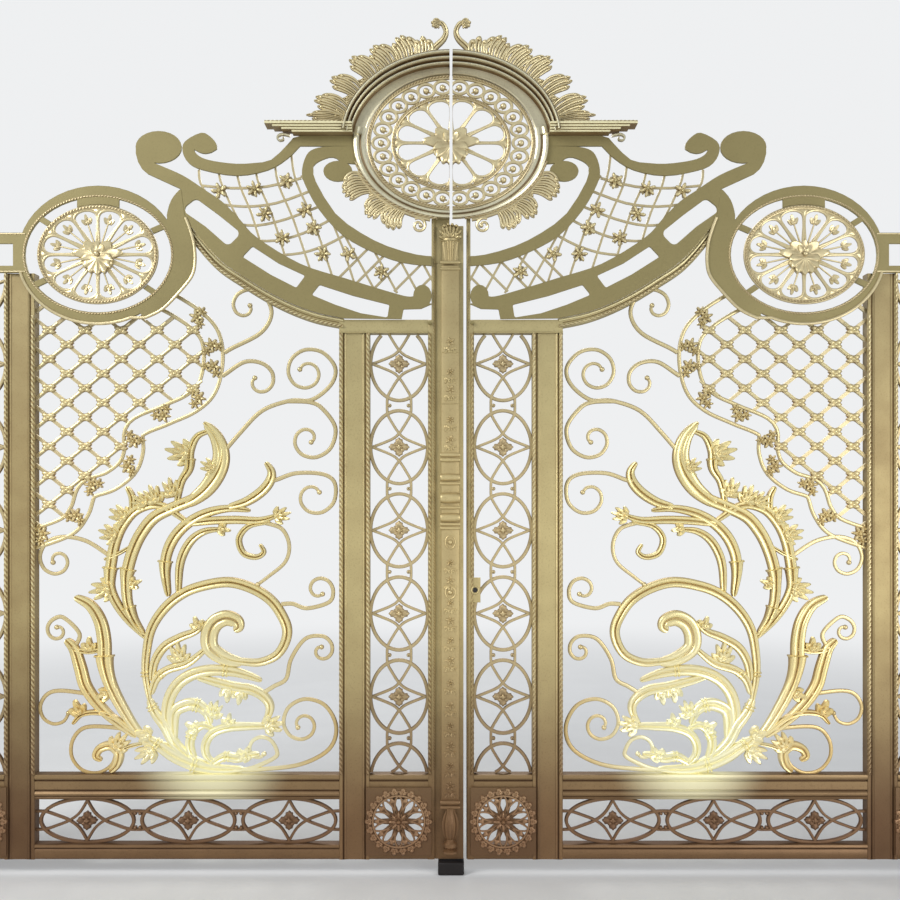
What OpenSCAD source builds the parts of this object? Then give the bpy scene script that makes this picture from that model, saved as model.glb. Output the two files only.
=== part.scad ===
/* [Leaf frame] */
// Height of the leaves' lower edge above the ground
ground_gap = 60; // [45:5:120]
// Height of the bottom rail
bottom_rail_h = 60; // [40:5:90]
// Clear height of the low oval panel
low_panel_h = 180; // [150:5:220]
// Height of the middle rail
mid_rail_h = 100; // [70:5:130]
// Height from the middle rail to the level top rail
panel_h = 1768; // [1700:10:1850]
// Width of the stiles beside the main panel
stile_w = 122; // [100:2:140]
// Width of the hinge stile
hinge_stile_w = 86; // [70:2:110]
// Half width of the meeting stiles seen together
meeting_half_w = 92; // [86:2:104]
// Clear width of the narrow oval panels
narrow_w = 234; // [210:2:260]
// Clear width of the main panel
main_w = 1220; // [1160:10:1300]
// Half width of the necks that carry the medallion
neck_half_w = 78; // [74:1:88]
// Depth of stiles and rails, front to back
frame_d = 50; // [44:2:64]
// Height of the curved top rail's section
top_rail_h = 36; // [28:2:44]

/* [Scrollwork] */
// Thickness of the flat bars in the panels
bar_t = 14; // [10:1:20]
// Width of the lattice bars
lattice_bar_w = 13; // [9:1:16]
// Width of the thin scroll bars at their root
scroll_w = 15; // [11:1:18]
// Width of the interlaced oval bars
oval_bar_w = 14; // [10:1:18]
// Widest width of the acanthus members
acanthus_w = 46; // [36:2:52]
// Depth of the acanthus members
acanthus_t = 30; // [22:2:36]
// Half width of the rosettes in the ovals
rosette_half = 31; // [28:1:34]
// Width of the wavy ribbon between its two bars
ribbon_gap = 76; // [60:2:84]

/* [Crest] */
// Height of the crest above the level top rail
crest_h = 1260; // [1200:10:1320]
// Thickness of the cut plates
plate_t = 12; // [8:1:18]
// Width of the bars in the crest lattice
crest_bar_w = 9; // [7:1:12]

/* [Posts] */
// Width of a square post
post_w = 150; // [120:5:200]
// Wall of a post
post_wall = 6; // [4:1:10]
// Height of the posts
post_h = 2700; // [2620:10:3000]
// Width of a base plate
base_w = 260; // [240:5:320]
// Thickness of a base plate
base_t = 16; // [12:1:25]
// Radius of an anchor bolt hole
anchor_r = 9; // [7:0.5:12]
// Distance between anchor bolt holes
anchor_pitch = 210; // [195:5:220]

/* [Hinges] */
// Radius of a hinge pin
pin_r = 10; // [8:0.5:13]
// Running clearance round a hinge pin
pin_clear = 0.08; // [0.05:0.01:0.1]
// Outer radius of a hinge knuckle
knuckle_r = 18; // [16:0.5:20]
// Height of a hinge knuckle
knuckle_h = 90; // [60:5:120]
// Gap between leaf and post
post_gap = 26; // [24:1:40]
// Gap between the two closed leaves
meeting_gap = 12; // [11:1:16]

/* [Hidden] */
left = -1;
right = 1;
gold = "#b89a55";
pale = "#c8b27a";
dark = "#2a2622";
seat = 0.3;

// Heights of the frame, from the ground
low_z = ground_gap + bottom_rail_h;
low_top_z = low_z + low_panel_h;
panel_z = low_top_z + mid_rail_h;
spring_z = panel_z + panel_h;
rail_top_z = spring_z + top_rail_h;

// Distances from the gate's centre line, outwards
inner_u0 = meeting_half_w;
inner_u1 = inner_u0 + narrow_w;
main_u0 = inner_u1 + stile_w;
main_u1 = main_u0 + main_w;
outer_u0 = main_u1 + stile_w;
outer_u1 = outer_u0 + narrow_w;
leaf_u = outer_u1 + hinge_stile_w;
gap_u0 = 50;
gap_u1 = gap_u0 + meeting_gap;
post_u = leaf_u + post_gap + post_w / 2;

front_y = -frame_d / 2;
back_y = frame_d / 2;
plate_y = front_y - plate_t;
pin_y = back_y + knuckle_r + 7;
pin_u = leaf_u + post_gap - knuckle_r - 2;
hinge_z = [320, 1250, 2180];

function mix(a, b, t) = a + (b - a) * t;
function unit(v) = v / max(norm(v), 0.000001);
function side_of(v) = [-v.y, v.x];

// A smooth curve through hand-placed points, n steps between neighbours
function curve_point(p0, p1, p2, p3, t) =
  0.5 * (2 * p1 + (p2 - p0) * t + (2 * p0 - 5 * p1 + 4 * p2 - p3) * t * t
    + (3 * p1 - p0 - 3 * p2 + p3) * t * t * t);
function smooth(p, n = 4) =
  let (last = len(p) - 1)
  [for (i = [0:last - 1], k = [0:n - 1])
    curve_point(p[max(i - 1, 0)], p[i], p[i + 1], p[min(i + 2, last)], k / n), p[last]];

// Points of an oval and of an arc on it
function oval(c, r, a0 = 0, a1 = 360, n = 36) =
  [for (i = [0:n]) let (a = mix(a0, a1, i / n)) c + [r.x * cos(a), r.y * sin(a)]];

// Points that wind from p round c for some turns, closing in to radius r1
function wind(p, c, turns, r1) =
  let (d = p - c, r0 = norm(d), a0 = atan2(d.y, d.x), n = ceil(abs(turns) * 8))
  [for (i = [1:n]) let (t = i / n, r = r0 * pow(r1 / r0, t), a = a0 + 360 * turns * t)
    c + r * [cos(a), sin(a)]];

// The two edges of a bar that follows a path, its width running from w0 to w1
function heading(p, i) = unit(p[min(i + 1, len(p) - 1)] - p[max(i - 1, 0)]);
function edge(p, w, side) =
  [for (i = [0:len(p) - 1])
    p[i] + side * side_of(heading(p, i)) * mix(w[0], w[1], i / (len(p) - 1)) / 2];
function swell(p, w, side) =
  [for (i = [0:len(p) - 1]) let (t = i / (len(p) - 1))
    p[i] + side * side_of(heading(p, i)) * (w[0] + (w[1] - w[0]) * sqrt(sin(180 * pow(t, w[2])))) / 2];

module strip(a, b) {
  for (i = [0:len(a) - 2])
    polygon([a[i], a[i + 1], b[i + 1], b[i]]);
}
module bar(p, w) {
  strip(edge(p, w, 1), edge(p, w, -1));
}
module leaf_bar(p, w) {
  strip(swell(p, w, 1), swell(p, w, -1));
}
module blob(c, r, n = 12) {
  polygon([for (i = [0:n - 1]) c + r * [cos(i * 360 / n), sin(i * 360 / n)]]);
}
module ring(c, r, w, n = 24) {
  bar(oval(c, r, n = n), [w, w]);
}

// Stands a flat drawing up in one leaf, from y to y + t
module upright(side, y, t) {
  translate([post_u, y + t, 0])
    mirror([side == left ? 1 : 0, 0, 0])
      rotate([90, 0, 0])
        linear_extrude(t)
          offset(delta = 0.001)
            children();
}
module block(side, u0, u1, y0, y1, z0, z1) {
  translate([post_u, 0, 0])
    mirror([side == left ? 1 : 0, 0, 0])
      translate([u0, y0, z0])
        cube([u1 - u0, y1 - y0, z1 - z0]);
}

// Main panel drawing: from its lower outer corner, inwards and up
drawn_w = 1220;
drawn_h = 1768;
function at(p) = [main_u1 - p.x * main_w / drawn_w, panel_z + p.y * panel_h / drawn_h];
function placed(list) = [for (p = list) at(p)];

// Crest drawing: from the gate's centre line and the ground, spring line at 2168
drawn_leaf_u = 2110;
drawn_spring = 2168;
drawn_crest = 1260;
function up(p) =
  [p.x * leaf_u / drawn_leaf_u, spring_z + (p.y - drawn_spring) * crest_h / drawn_crest];
function raised(list) = [for (p = list) up(p)];
function height(z) =
  z < panel_z ? z : z < drawn_spring ? at([0, z - drawn_spring + drawn_h]).y : up([0, z]).y;
function sized(r) = [r.x * leaf_u / drawn_leaf_u, r.y * crest_h / drawn_crest];

crown_c = up([0, 2926]);
crown_r = sized([339, 271]);
band_r = sized([397, 303]);
arch_r = sized([435, 348]);
under_r = sized([390, 302]);
cornice_z = up([0, 2956]).y;
side_c = up([1410, 2480]);
side_r = sized([244, 200]);
ring_r = sized([320, 276]);
hole_r = sized([292, 230]);

// Lower edge of the crest, from the ring plate down to the level rail
sweep_low = raised([[1068, 2595], [1026, 2548], [934, 2444], [830, 2372], [732, 2312],
  [634, 2264], [538, 2230], [432, 2208]]);
sweep_high = raised([[1182, 2845], [1072, 2797], [982, 2738], [914, 2692], [846, 2624], [774, 2548],
  [602, 2444], [430, 2388], [267, 2338], [174, 2313], [140, 2318]]);

module rail_outline() {
  bar(concat(smooth(sweep_low), [[meeting_half_w, rail_top_z]]), [top_rail_h, top_rail_h]);
}
module crown_outline() {
  polygon(oval(crown_c, under_r, n = 48));
  intersection() {
    polygon(oval(crown_c, arch_r, n = 48));
    translate([0, cornice_z])
      square([arch_r.x, 2 * arch_r.y]);
  }
}

// Posts
module post(side) {
  color(gold)
    difference() {
      block(side, post_u - post_w / 2, post_u + post_w / 2, -post_w / 2, post_w / 2, base_t, post_h);
      block(side, post_u - post_w / 2 + post_wall, post_u + post_w / 2 - post_wall,
        -post_w / 2 + post_wall, post_w / 2 - post_wall, base_t - 1, post_h + 1);
    }
}
module left_post() {
  post(left);
}
module right_post() {
  post(right);
}
module base_plates() {
  color(gold)
    for (side = [left, right])
      translate([post_u + side * post_u, 0, 0])
        difference() {
          translate([-base_w / 2, -base_w / 2, 0])
            cube([base_w, base_w, base_t]);
          for (i = [-1, 1], j = [-1, 1])
            translate([i * anchor_pitch / 2, j * anchor_pitch / 2, -1])
              cylinder(h = base_t + 2, r = anchor_r, $fn = 24);
        }
}
module post_caps() {
  color(gold)
    for (side = [left, right])
      translate([post_u + side * post_u, 0, post_h]) {
        translate([-post_w / 2 - 15, -post_w / 2 - 15, 0])
          cube([post_w + 30, post_w + 30, 20]);
        translate([0, 0, 20])
          cylinder(h = 18, r = post_w / 2 - 12, $fn = 32);
        translate([0, 0, 90])
          sphere(r = 64, $fn = 32);
      }
}
module hinge_brackets() {
  color(gold)
    for (side = [left, right], z = hinge_z)
      translate([post_u + side * pin_u, pin_y, z]) {
        cylinder(h = knuckle_h + 2 * seat + 24, r = pin_r, $fn = 32, center = true);
        for (end = [-1, 1])
          translate([0, 0, end * (knuckle_h / 2 + seat + 6)])
            difference() {
              union() {
                cylinder(h = 12, r = knuckle_r, $fn = 32, center = true);
                translate([side > 0 ? 0 : -knuckle_r - 2, -knuckle_r, -6])
                  cube([knuckle_r + 2, 2 * knuckle_r, 12]);
              }
              cylinder(h = 14, r = pin_r - 1, $fn = 32, center = true);
            }
      }
}
module floor_stop() {
  color(dark)
    translate([post_u - 52, -40, 0])
      cube([104, 80, 52]);
}

// Frame of a leaf
module stile_section(w) {
  rib = 16;
  groove = 4;
  polygon([[0, back_y], [0, front_y], [rib, front_y], [rib + groove, front_y + groove],
    [w - rib - groove, front_y + groove], [w - rib, front_y], [w, front_y], [w, back_y]]);
}
module stile(side, u, w, z0, z1) {
  translate([post_u, 0, z0])
    mirror([side == left ? 1 : 0, 0, 0])
      translate([u, 0, 0])
        linear_extrude(z1 - z0)
          stile_section(w);
}
arm_z0 = up([0, 2408]).y;
arm_z1 = up([0, 2568]).y;
module stiles(side) {
  color(gold) {
    stile(side, outer_u1, hinge_stile_w, ground_gap, arm_z0 - seat);
    stile(side, main_u1, stile_w, ground_gap, arm_z0 - seat);
    stile(side, inner_u1, stile_w, ground_gap, spring_z);
  }
}
wide_top = height(2450);
module meeting_stile(side) {
  inner = side == left ? -gap_u0 : gap_u1;
  neck_top = up([0, 2646]).y;
  rib_u = meeting_half_w - 26;
  color(gold)
    difference() {
      union() {
        block(side, inner, meeting_half_w, front_y, back_y, ground_gap, rail_top_z);
        block(side, inner, neck_half_w, front_y, back_y, ground_gap, wide_top);
        block(side, max(inner, meeting_gap / 2), neck_half_w, front_y, back_y, ground_gap, neck_top);
      }
      block(side, inner - 1, rib_u, front_y - 1, front_y + recess, 0, wide_top);
    }
}
module rails(side) {
  color(gold) {
    for (z = [[ground_gap, bottom_rail_h], [low_top_z, mid_rail_h]])
      for (u = [[inner_u0, inner_u1], [main_u0, main_u1], [outer_u0, outer_u1]])
        block(side, u[0], u[1], front_y, back_y, z[0], z[0] + z[1]);
    upright(side, front_y, frame_d)
      difference() {
        union() {
          rail_outline();
          translate([meeting_half_w, spring_z])
            square([main_u0 - meeting_half_w, top_rail_h]);
        }
        offset(delta = seat)
          ring_outline();
        square([meeting_half_w, 2 * post_h]);
      }
  }
}
module hinge_knuckles(side) {
  strap = 80;
  color(gold)
    for (z = hinge_z)
      translate([post_u + side * pin_u, pin_y, z])
        difference() {
          union() {
            cylinder(h = knuckle_h, r = knuckle_r, $fn = 32, center = true);
            translate([side > 0 ? -strap : 0, -knuckle_r - 7, -knuckle_h / 2])
              cube([strap, 10, knuckle_h]);
          }
          cylinder(h = knuckle_h + 2, r = pin_r + pin_clear, $fn = 32, center = true);
        }
}

// Interlaced ovals: an oval, four swung bars that cross round a rosette, and two links
module oval_link(c, half, upright_run) {
  cross = upright_run ? half.x : half.y;
  run = upright_run ? half.y : half.x;
  swing = smooth([[cross - oval_bar_w / 2, 0], [rosette_half, rosette_half], [0, run * 0.38],
    [-cross * 0.24, run * 0.66], [-cross * 0.4, run * 0.9], [-cross * 0.42, run * 1.16]], 1);
  ring(c, half, oval_bar_w, 22);
  for (i = [-1, 1], j = [-1, 1])
    bar([for (p = swing) c + (upright_run ? [i * p.x, j * p.y] : [j * p.y, i * p.x])],
      [oval_bar_w * 0.75, oval_bar_w * 0.75]);
  polygon([for (k = [0:7]) c + rosette_half * (k % 2 == 0 ? 0.95 : 1.5) * [cos(k * 45), sin(k * 45)]]);
}
module oval_run(u0, u1, z0, z1) {
  half = [(u1 - u0) / 2 - 2, 147];
  pitch = 335;
  top = spring_z - 120;
  intersection() {
    translate([u0, z0])
      square([u1 - u0, z1 - z0]);
    for (k = [-1:5])
      oval_link([(u0 + u1) / 2, top - k * pitch], half, true);
  }
}
module oval_panels(side) {
  color(pale)
    upright(side, -bar_t / 2, bar_t) {
      oval_run(inner_u0, inner_u1, panel_z, spring_z);
      oval_run(outer_u0, outer_u1, panel_z, arm_z0 - 20);
    }
}
module low_panel(side) {
  mid = (main_u0 + main_u1) / 2;
  pitch = main_w / 3;
  color(pale)
    upright(side, -bar_t / 2, bar_t)
      intersection() {
        translate([main_u0, low_z])
          square([main_w, low_panel_h]);
        for (k = [-2:2])
          oval_link([mid + k * pitch, low_z + low_panel_h / 2], [pitch * 0.46, low_panel_h / 2 - 2], false);
      }
}
module rosette_plate(c) {
  half = [130, 136];
  hole = 118;
  rim = 112;
  difference() {
    translate(c - half)
      square(2 * half);
    blob(c, hole, 36);
  }
  ring(c, [rim, rim], 20);
  for (k = [0:9])
    rotate_about(c, k * 36)
      bar([c + [20, 0], c + [rim, 0]], [26, 10]);
  blob(c, 34, 12);
}
module rotate_about(c, a) {
  translate(c)
    rotate(a)
      translate(-c)
        children();
}
module corner_rosettes(side) {
  color(gold)
    upright(side, front_y - 10, 10) {
      rosette_plate([(inner_u0 + inner_u1) / 2, low_z + 95]);
      rosette_plate([(outer_u0 + outer_u1) / 2, low_z + 95]);
    }
}

// Wavy ribbon: two bars on either side of one line
ribbon_line = smooth(placed([[480, 1920], [560, 1880], [643, 1824], [697, 1760], [711, 1664], [686, 1554],
  [622, 1490], [518, 1442], [399, 1386], [390, 1296], [364, 1230], [296, 1176], [206, 1140], [172, 1056],
  [118, 992], [-24, 940]]), 3);
module main_opening() {
  above = 2 * post_h;
  difference() {
    translate([main_u0, panel_z])
      square([main_w, side_c.y - panel_z]);
    polygon(concat([[0, above], [leaf_u, above], [leaf_u, side_c.y], [side_c.x, side_c.y]],
      edge(smooth(sweep_low), [top_rail_h + 2 * seat, top_rail_h + 2 * seat], 1),
      [[0, rail_top_z - top_rail_h]]));
    offset(delta = seat)
      ring_outline();
    offset(delta = seat)
      rail_outline();
  }
}
module lattice_area() {
  polygon(concat(edge(ribbon_line, [ribbon_gap - 4, ribbon_gap - 4], 1),
    [at([-40, 940]), at([-40, 2100]), at([480, 2100])]));
}
module ribbon(side) {
  color(gold)
    upright(side, -bar_t / 2, bar_t)
      difference() {
        intersection() {
          main_opening();
          union() {
            bar(edge(ribbon_line, [ribbon_gap, ribbon_gap], 1), [12, 12]);
            bar(edge(ribbon_line, [ribbon_gap, ribbon_gap], -1), [12, 12]);
            for (i = [4:4:len(ribbon_line) - 4])
              translate(ribbon_line[i])
                for (k = [0:4])
                  rotate(k * 72)
                    translate([18, 0])
                      circle(r = 16, $fn = 8);
          }
        }
        offset(delta = seat)
          acanthus_outline();
      }
}
module lattice(side) {
  pitch_u = 72.5;
  pitch_z = 117;
  reach = 900;
  knot = 22;
  a = atan2(pitch_z / 2, pitch_u);
  color(gold)
    upright(side, -bar_t / 2, bar_t)
      intersection() {
        main_opening();
        difference() {
          lattice_area();
          offset(delta = seat)
            bar(edge(ribbon_line, [ribbon_gap, ribbon_gap], 1), [12, 12]);
        }
        union() {
          for (k = [-16:16], s = [-1, 1])
            translate(at([50, 1784]) + [0, k * pitch_z])
              rotate(s * a)
                translate([-reach, -lattice_bar_w / 2])
                  square([2 * reach, lattice_bar_w]);
          for (i = [-10:3], j = [-8:8])
            translate(at([50, 1784]) + [i * pitch_u, (j + (i % 2 == 0 ? 0 : 0.5)) * pitch_z])
              rotate(45)
                square(knot, center = true);
        }
      }
}

// Thin scrolls: lead points, then centre, turns and end radius of the winding
scroll_list = [
  [[[700, 1650], [772, 1704], [900, 1772], [945, 1850]], [840, 1876], 1.1, 20],
  [[[690, 1560], [760, 1608], [836, 1656], [904, 1652]], [896, 1576], -0.85, 24],
  [[[742, 1280], [820, 1372], [908, 1460], [1020, 1500], [1108, 1504], [1184, 1564], [1202, 1632]],
    [1088, 1612], 1.4, 32],
  [[[1010, 1498], [1100, 1494], [1150, 1468], [1202, 1392]], [1092, 1348], -1.2, 20],
  [[[926, 1180], [960, 1180], [1044, 1208], [1152, 1204], [1200, 1168]], [1112, 1116], -1, 30],
  [[[910, 1010], [985, 985], [1016, 920], [1000, 850], [930, 790], [890, 760]], [880, 750], 0, 30],
  [[[310, 860], [272, 890], [196, 936], [108, 952]], [84, 856], 1.35, 20],
  [[[146, 500], [172, 560], [108, 626]], [84, 572], 1.1, 16],
  [[[215, 318], [100, 332]], [80, 255], 0.75, 50],
  [[[388, 168], [308, 184], [196, 184]], [232, 92], 0.7, 88],
  [[[985, 680], [1030, 682], [1088, 664], [1176, 688]], [1136, 740], 1, 24],
  [[[915, 325], [955, 350], [1004, 380], [1024, 460], [1080, 540], [1148, 552]], [1146, 492], -1, 16],
  [[[790, 16], [908, 16], [1064, 36], [1176, 96], [1206, 184]], [1072, 196], 1.6, 24],
  [[[850, 16], [888, 28], [960, 64], [966, 92]], [896, 92], 0.9, 24]];
function scroll_path(s) =
  let (lead = s[0], last = lead[len(lead) - 1])
  smooth(placed(concat(lead, s[2] == 0 ? [] : wind(last, s[1], s[2], s[3]))), 2);
module scrolls(side) {
  color(gold)
    upright(side, -bar_t / 2, bar_t)
      difference() {
        intersection() {
          main_opening();
          for (s = scroll_list) {
            path = scroll_path(s);
            bar(path, [scroll_w, scroll_w * 0.8]);
            blob(path[len(path) - 1], scroll_w * 0.75, 10);
          }
        }
        offset(delta = seat)
          acanthus_outline();
        offset(delta = seat)
          strip(edge(ribbon_line, [ribbon_gap + 12, ribbon_gap + 12], 1),
            edge(ribbon_line, [ribbon_gap + 12, ribbon_gap + 12], -1));
      }
}

// Acanthus members: points along the rib and share of the full width
acanthus_list = [
  [[[456, 284], [437, 399], [442, 495], [461, 582], [509, 658], [576, 716], [653, 750], [768, 769],
    [864, 745], [941, 697], [989, 630], [1008, 572], [994, 514], [960, 471], [902, 447], [845, 447],
    [768, 462], [720, 505], [700, 553]], 0.92],
  [[[830, 446], [766, 458], [702, 500], [694, 556], [716, 602], [760, 624], [802, 612], [812, 588],
    [794, 574]], 1.5],
  [[[462, 372], [474, 447], [512, 508], [576, 546], [640, 572], [678, 612]], 0.8],
  [[[460, 316], [480, 376], [524, 415], [602, 440], [650, 474], [700, 520]], 0.75],
  [[[560, 110], [524, 200], [530, 290], [566, 356], [624, 396], [700, 414], [787, 409], [854, 392],
    [906, 372]], 1.05],
  [[[640, 388], [720, 366], [800, 346], [868, 334], [916, 306], [938, 270], [931, 232], [908, 196]], 0.9],
  [[[944, 190], [845, 188], [768, 183], [706, 159], [678, 111], [688, 63], [740, 24]], 0.8],
  [[[552, 130], [552, 236], [595, 272], [643, 274], [682, 246], [700, 196]], 1.1],
  [[[640, 40], [616, 110], [630, 165], [668, 192], [712, 176]], 0.8],
  [[[700, 34], [755, 66], [806, 60], [850, 70], [896, 78]], 0.8],
  [[[446, 140], [506, 102], [557, 68], [634, 34], [720, 16], [836, 16]], 1.15],
  [[[452, 300], [476, 244], [516, 190], [552, 124], [610, 70], [690, 30]], 0.95],
  [[[152, 709], [214, 676], [254, 612], [270, 534], [274, 440], [298, 352], [346, 258], [403, 172],
    [462, 118]], 1.2],
  [[[116, 538], [150, 500], [174, 426], [196, 350], [248, 275], [314, 211], [400, 146]], 1.1],
  [[[390, 164], [317, 222], [250, 244], [182, 236], [144, 198]], 0.5],
  [[[280, -14], [322, 30], [330, 80], [298, 110], [254, 98], [238, 68], [262, 52]], 0.85],
  [[[446, 540], [374, 610], [326, 675], [296, 740], [294, 800], [300, 853], [315, 929], [344, 996],
    [394, 1055], [462, 1080], [520, 1070], [570, 1036], [620, 1000]], 0.92],
  [[[430, 560], [390, 620], [365, 690], [360, 769], [365, 820], [386, 895], [420, 966], [473, 1030],
    [556, 1072], [634, 1106], [694, 1160], [738, 1230], [751, 1296], [736, 1350], [705, 1388],
    [672, 1412]], 1.05],
  [[[560, 1066], [580, 1170], [612, 1228], [618, 1298], [646, 1357], [700, 1380]], 0.7],
  [[[530, 712], [516, 812], [524, 887], [556, 954], [610, 1008], [684, 1048], [773, 1066],
    [860, 1058]], 0.95],
  [[[770, 1072], [840, 1092], [902, 1132], [938, 1176], [944, 1216], [921, 1252]], 0.9],
  [[[570, 716], [574, 828], [594, 895], [630, 946], [680, 975], [744, 982]], 0.75],
  [[[596, 1002], [697, 1016], [798, 1020], [898, 1018], [966, 1038]], 0.75],
  [[[940, 1010], [856, 996], [814, 946], [831, 887], [882, 870], [914, 890], [898, 922]], 0.55],
  [[[272, 860], [330, 885], [392, 922]], 0.35],
  [[[384, 1050], [384, 1110], [362, 1154]], 0.6],
  [[[150, 498], [211, 490], [276, 500]], 0.5],
  [[[322, 84], [376, 108], [432, 120]], 0.35],
  [[[600, 1080], [680, 1142], [728, 1216], [742, 1284], [722, 1354], [678, 1408]], 1.55]];
// Leaves on the members: place, direction and size
sprig_list = [
  [[546, 1120], 100, 54], [[606, 1286], 168, 68], [[480, 1094], 112, 54], [[714, 1224], 150, 46],
  [[356, 1026], 148, 54], [[318, 955], 160, 54], [[290, 742], 190, 60], [[574, 456], 96, 56],
  [[466, 92], 205, 58], [[768, 194], 80, 36], [[706, 232], 70, 48], [[768, 340], 270, 42],
  [[820, 328], 262, 40], [[926, 190], 10, 54], [[318, 104], 50, 54], [[284, 322], 200, 38],
  [[172, 240], 110, 44], [[211, 496], 90, 40], [[964, 1034], 15, 46], [[736, 984], -10, 34],
  [[826, 58], 60, 42], [[440, 1086], 150, 48], [[650, 586], 110, 36], [[378, 760], 20, 34],
  [[640, 170], 140, 40], [[452, 150], 160, 44]];
leaf_lobes = 3;
module fan(p, a, r) {
  translate(p)
    rotate(a)
      polygon([for (k = [0:4 * leaf_lobes])
        let (t = mix(-100, 100, k / (4 * leaf_lobes)), w = [0.6, 0.9, 1, 0.9][k % 4])
          r * w * [1.25 * cos(t) + 0.1, 0.8 * sin(t)]]);
}
module acanthus_outline() {
  for (m = acanthus_list)
    leaf_bar(smooth(placed(m[0]), 2), [10, acanthus_w * m[1], 0.8]);
  for (f = sprig_list)
    fan(at(f[0]), 180 - f[1], f[2]);
}
module acanthus(side) {
  color(gold)
    upright(side, -acanthus_t / 2, acanthus_t)
      intersection() {
        main_opening();
        acanthus_outline();
      }
}

// Ring plate with the arm over the outer narrow panel, and the band that rises to the sweep
tab_angles = [36, -29, 218, 153];
module ring_band() {
  polygon(smooth(raised([[1230, 2222], [1150, 2264], [1078, 2338], [1034, 2396], [1022, 2452],
    [1026, 2520], [1042, 2580], [1060, 2628], [1068, 2668], [1074, 2716], [1079, 2742], [1097, 2727],
    [1118, 2698], [1132, 2656], [1134, 2612], [1110, 2500], [1120, 2400], [1180, 2320], [1250, 2270]]), 2));
}
module ring_outline() {
  polygon(oval(side_c, ring_r, n = 48));
  ring_band();
}
module ring_plate(side) {
  color(pale)
    upright(side, plate_y, plate_t) {
      difference() {
        union() {
          ring_outline();
          translate([side_c.x, arm_z0])
            square([leaf_u - side_c.x, arm_z1 - arm_z0]);
        }
        polygon(oval(side_c, hole_r, n = 48));
        translate([outer_u0 - 40, arm_z0 + 28])
          square([leaf_u - outer_u0 - 20, arm_z1 - arm_z0 - 72]);
      }
      difference() {
        union() {
          for (a = tab_angles)
            bar([side_c, side_c + [ring_r.x * cos(a), ring_r.y * sin(a)]], [24, 24]);
          bar([side_c, side_c + [0, ring_r.y]], [168, 168]);
        }
        polygon(oval(side_c, side_r + [seat, seat], n = 48));
        ring_hole_outside();
      }
    }
}
module ring_hole_outside() {
  difference() {
    square([2 * leaf_u, 2 * post_h]);
    polygon(oval(side_c, hole_r + [2, 2], n = 48));
  }
}

// A wheel of teardrop loops whose sides meet as spokes, with a trefoil in each and a leafy boss
module petals(c, r, count, hub) {
  half = 180 / count;
  loop = [[hub * 0.7, 0], [r.y * 0.4, r.y * 0.09], [r.y * 0.66, r.y * 0.17], [r.y * 0.85, r.y * 0.2],
    [r.y * 0.97, r.y * 0.12], [r.y, 0]];
  translate(c)
    scale([r.x / r.y, 1])
      for (k = [0:count - 1])
        rotate((k + 0.5) * 2 * half) {
          for (flip = [-1, 1])
            bar([for (p = loop) [p.x, flip * p.y]], [7, 7]);
          polygon([[r.y * 0.98, -7], [r.y * 0.78, -3.5], [r.y * 0.78, 3.5], [r.y * 0.98, 7]]);
          bar([[hub * 0.7, 0], [r.y * 0.7, 0]], [9, 5]);
          for (a = [-1, 0, 1])
            translate([r.y * (a == 0 ? 0.74 : 0.68), a * r.y * 0.065])
              circle(r = r.y * 0.05, $fn = 6);
        }
}
module leafy_boss(c, r, count) {
  dips = [1, 0.9, 0.66, 0.9];
  polygon([for (k = [0:4 * count - 1])
    let (a = k * 90 / count) c + dips[k % 4] * [r.x * cos(a), r.y * sin(a)]]);
}
module side_medallion(side) {
  color(gold)
    upright(side, plate_y - 8, plate_t + 8) {
      ring(side_c, side_r - [9, 9], 18, 30);
      petals(side_c, side_r - [14, 14], 12, 40);
      leafy_boss(side_c, [78, 66], 8);
    }
}

// Top plate: the sweeping band with its slots and scroll heads, the small band and the hook
module sweep_outline() {
  polygon(concat(smooth(sweep_high), raised([[118, 2290], [72, 2284], [72, 2200], [432, 2200]]),
    [for (i = [len(sweep_low) - 1:-1:0]) sweep_low[i]],
    raised([[1079, 2742], [1212, 2803], [1234, 2822], [1250, 2850], [1259, 2884], [1259, 2910]])));
  polygon(oval(up([1168, 2910]), sized([92, 64]), n = 24));
  polygon(oval(up([114, 2316]), sized([37, 44]), n = 16));
}
module small_band_outline() {
  polygon(concat(
    smooth(raised([[603, 2914], [654, 2864], [732, 2818], [856, 2796], [989, 2818], [1048, 2846],
      [1072, 2892], [1062, 2933], [998, 2967], [961, 2951], [938, 2924], [936, 2902]]), 3),
    smooth(raised([[958, 2889], [982, 2884], [1006, 2889], [1026, 2900], [1016, 2882], [994, 2867],
      [966, 2858], [924, 2850], [856, 2843], [787, 2846], [718, 2859], [654, 2919], [631, 2946]]), 2)));
}
module hook_outline() {
  polygon(concat(raised([[386, 2914]]),
    smooth(raised([[503, 2912], [548, 2902], [577, 2878], [595, 2820], [585, 2763], [528, 2661],
      [434, 2559], [320, 2494], [197, 2449], [72, 2435]]), 3),
    smooth(raised([[72, 2474], [136, 2480], [254, 2514], [360, 2567], [462, 2645], [540, 2772],
      [550, 2820], [548, 2836], [528, 2853], [487, 2869], [458, 2865], [438, 2847]]), 2),
    raised([[376, 2842]])));
  polygon(oval(up([452, 2814]), sized([58, 41]), n = 20));
  polygon(raised([[603, 2914], [631, 2946], [600, 2955], [386, 2955], [386, 2914]]));
}
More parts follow.
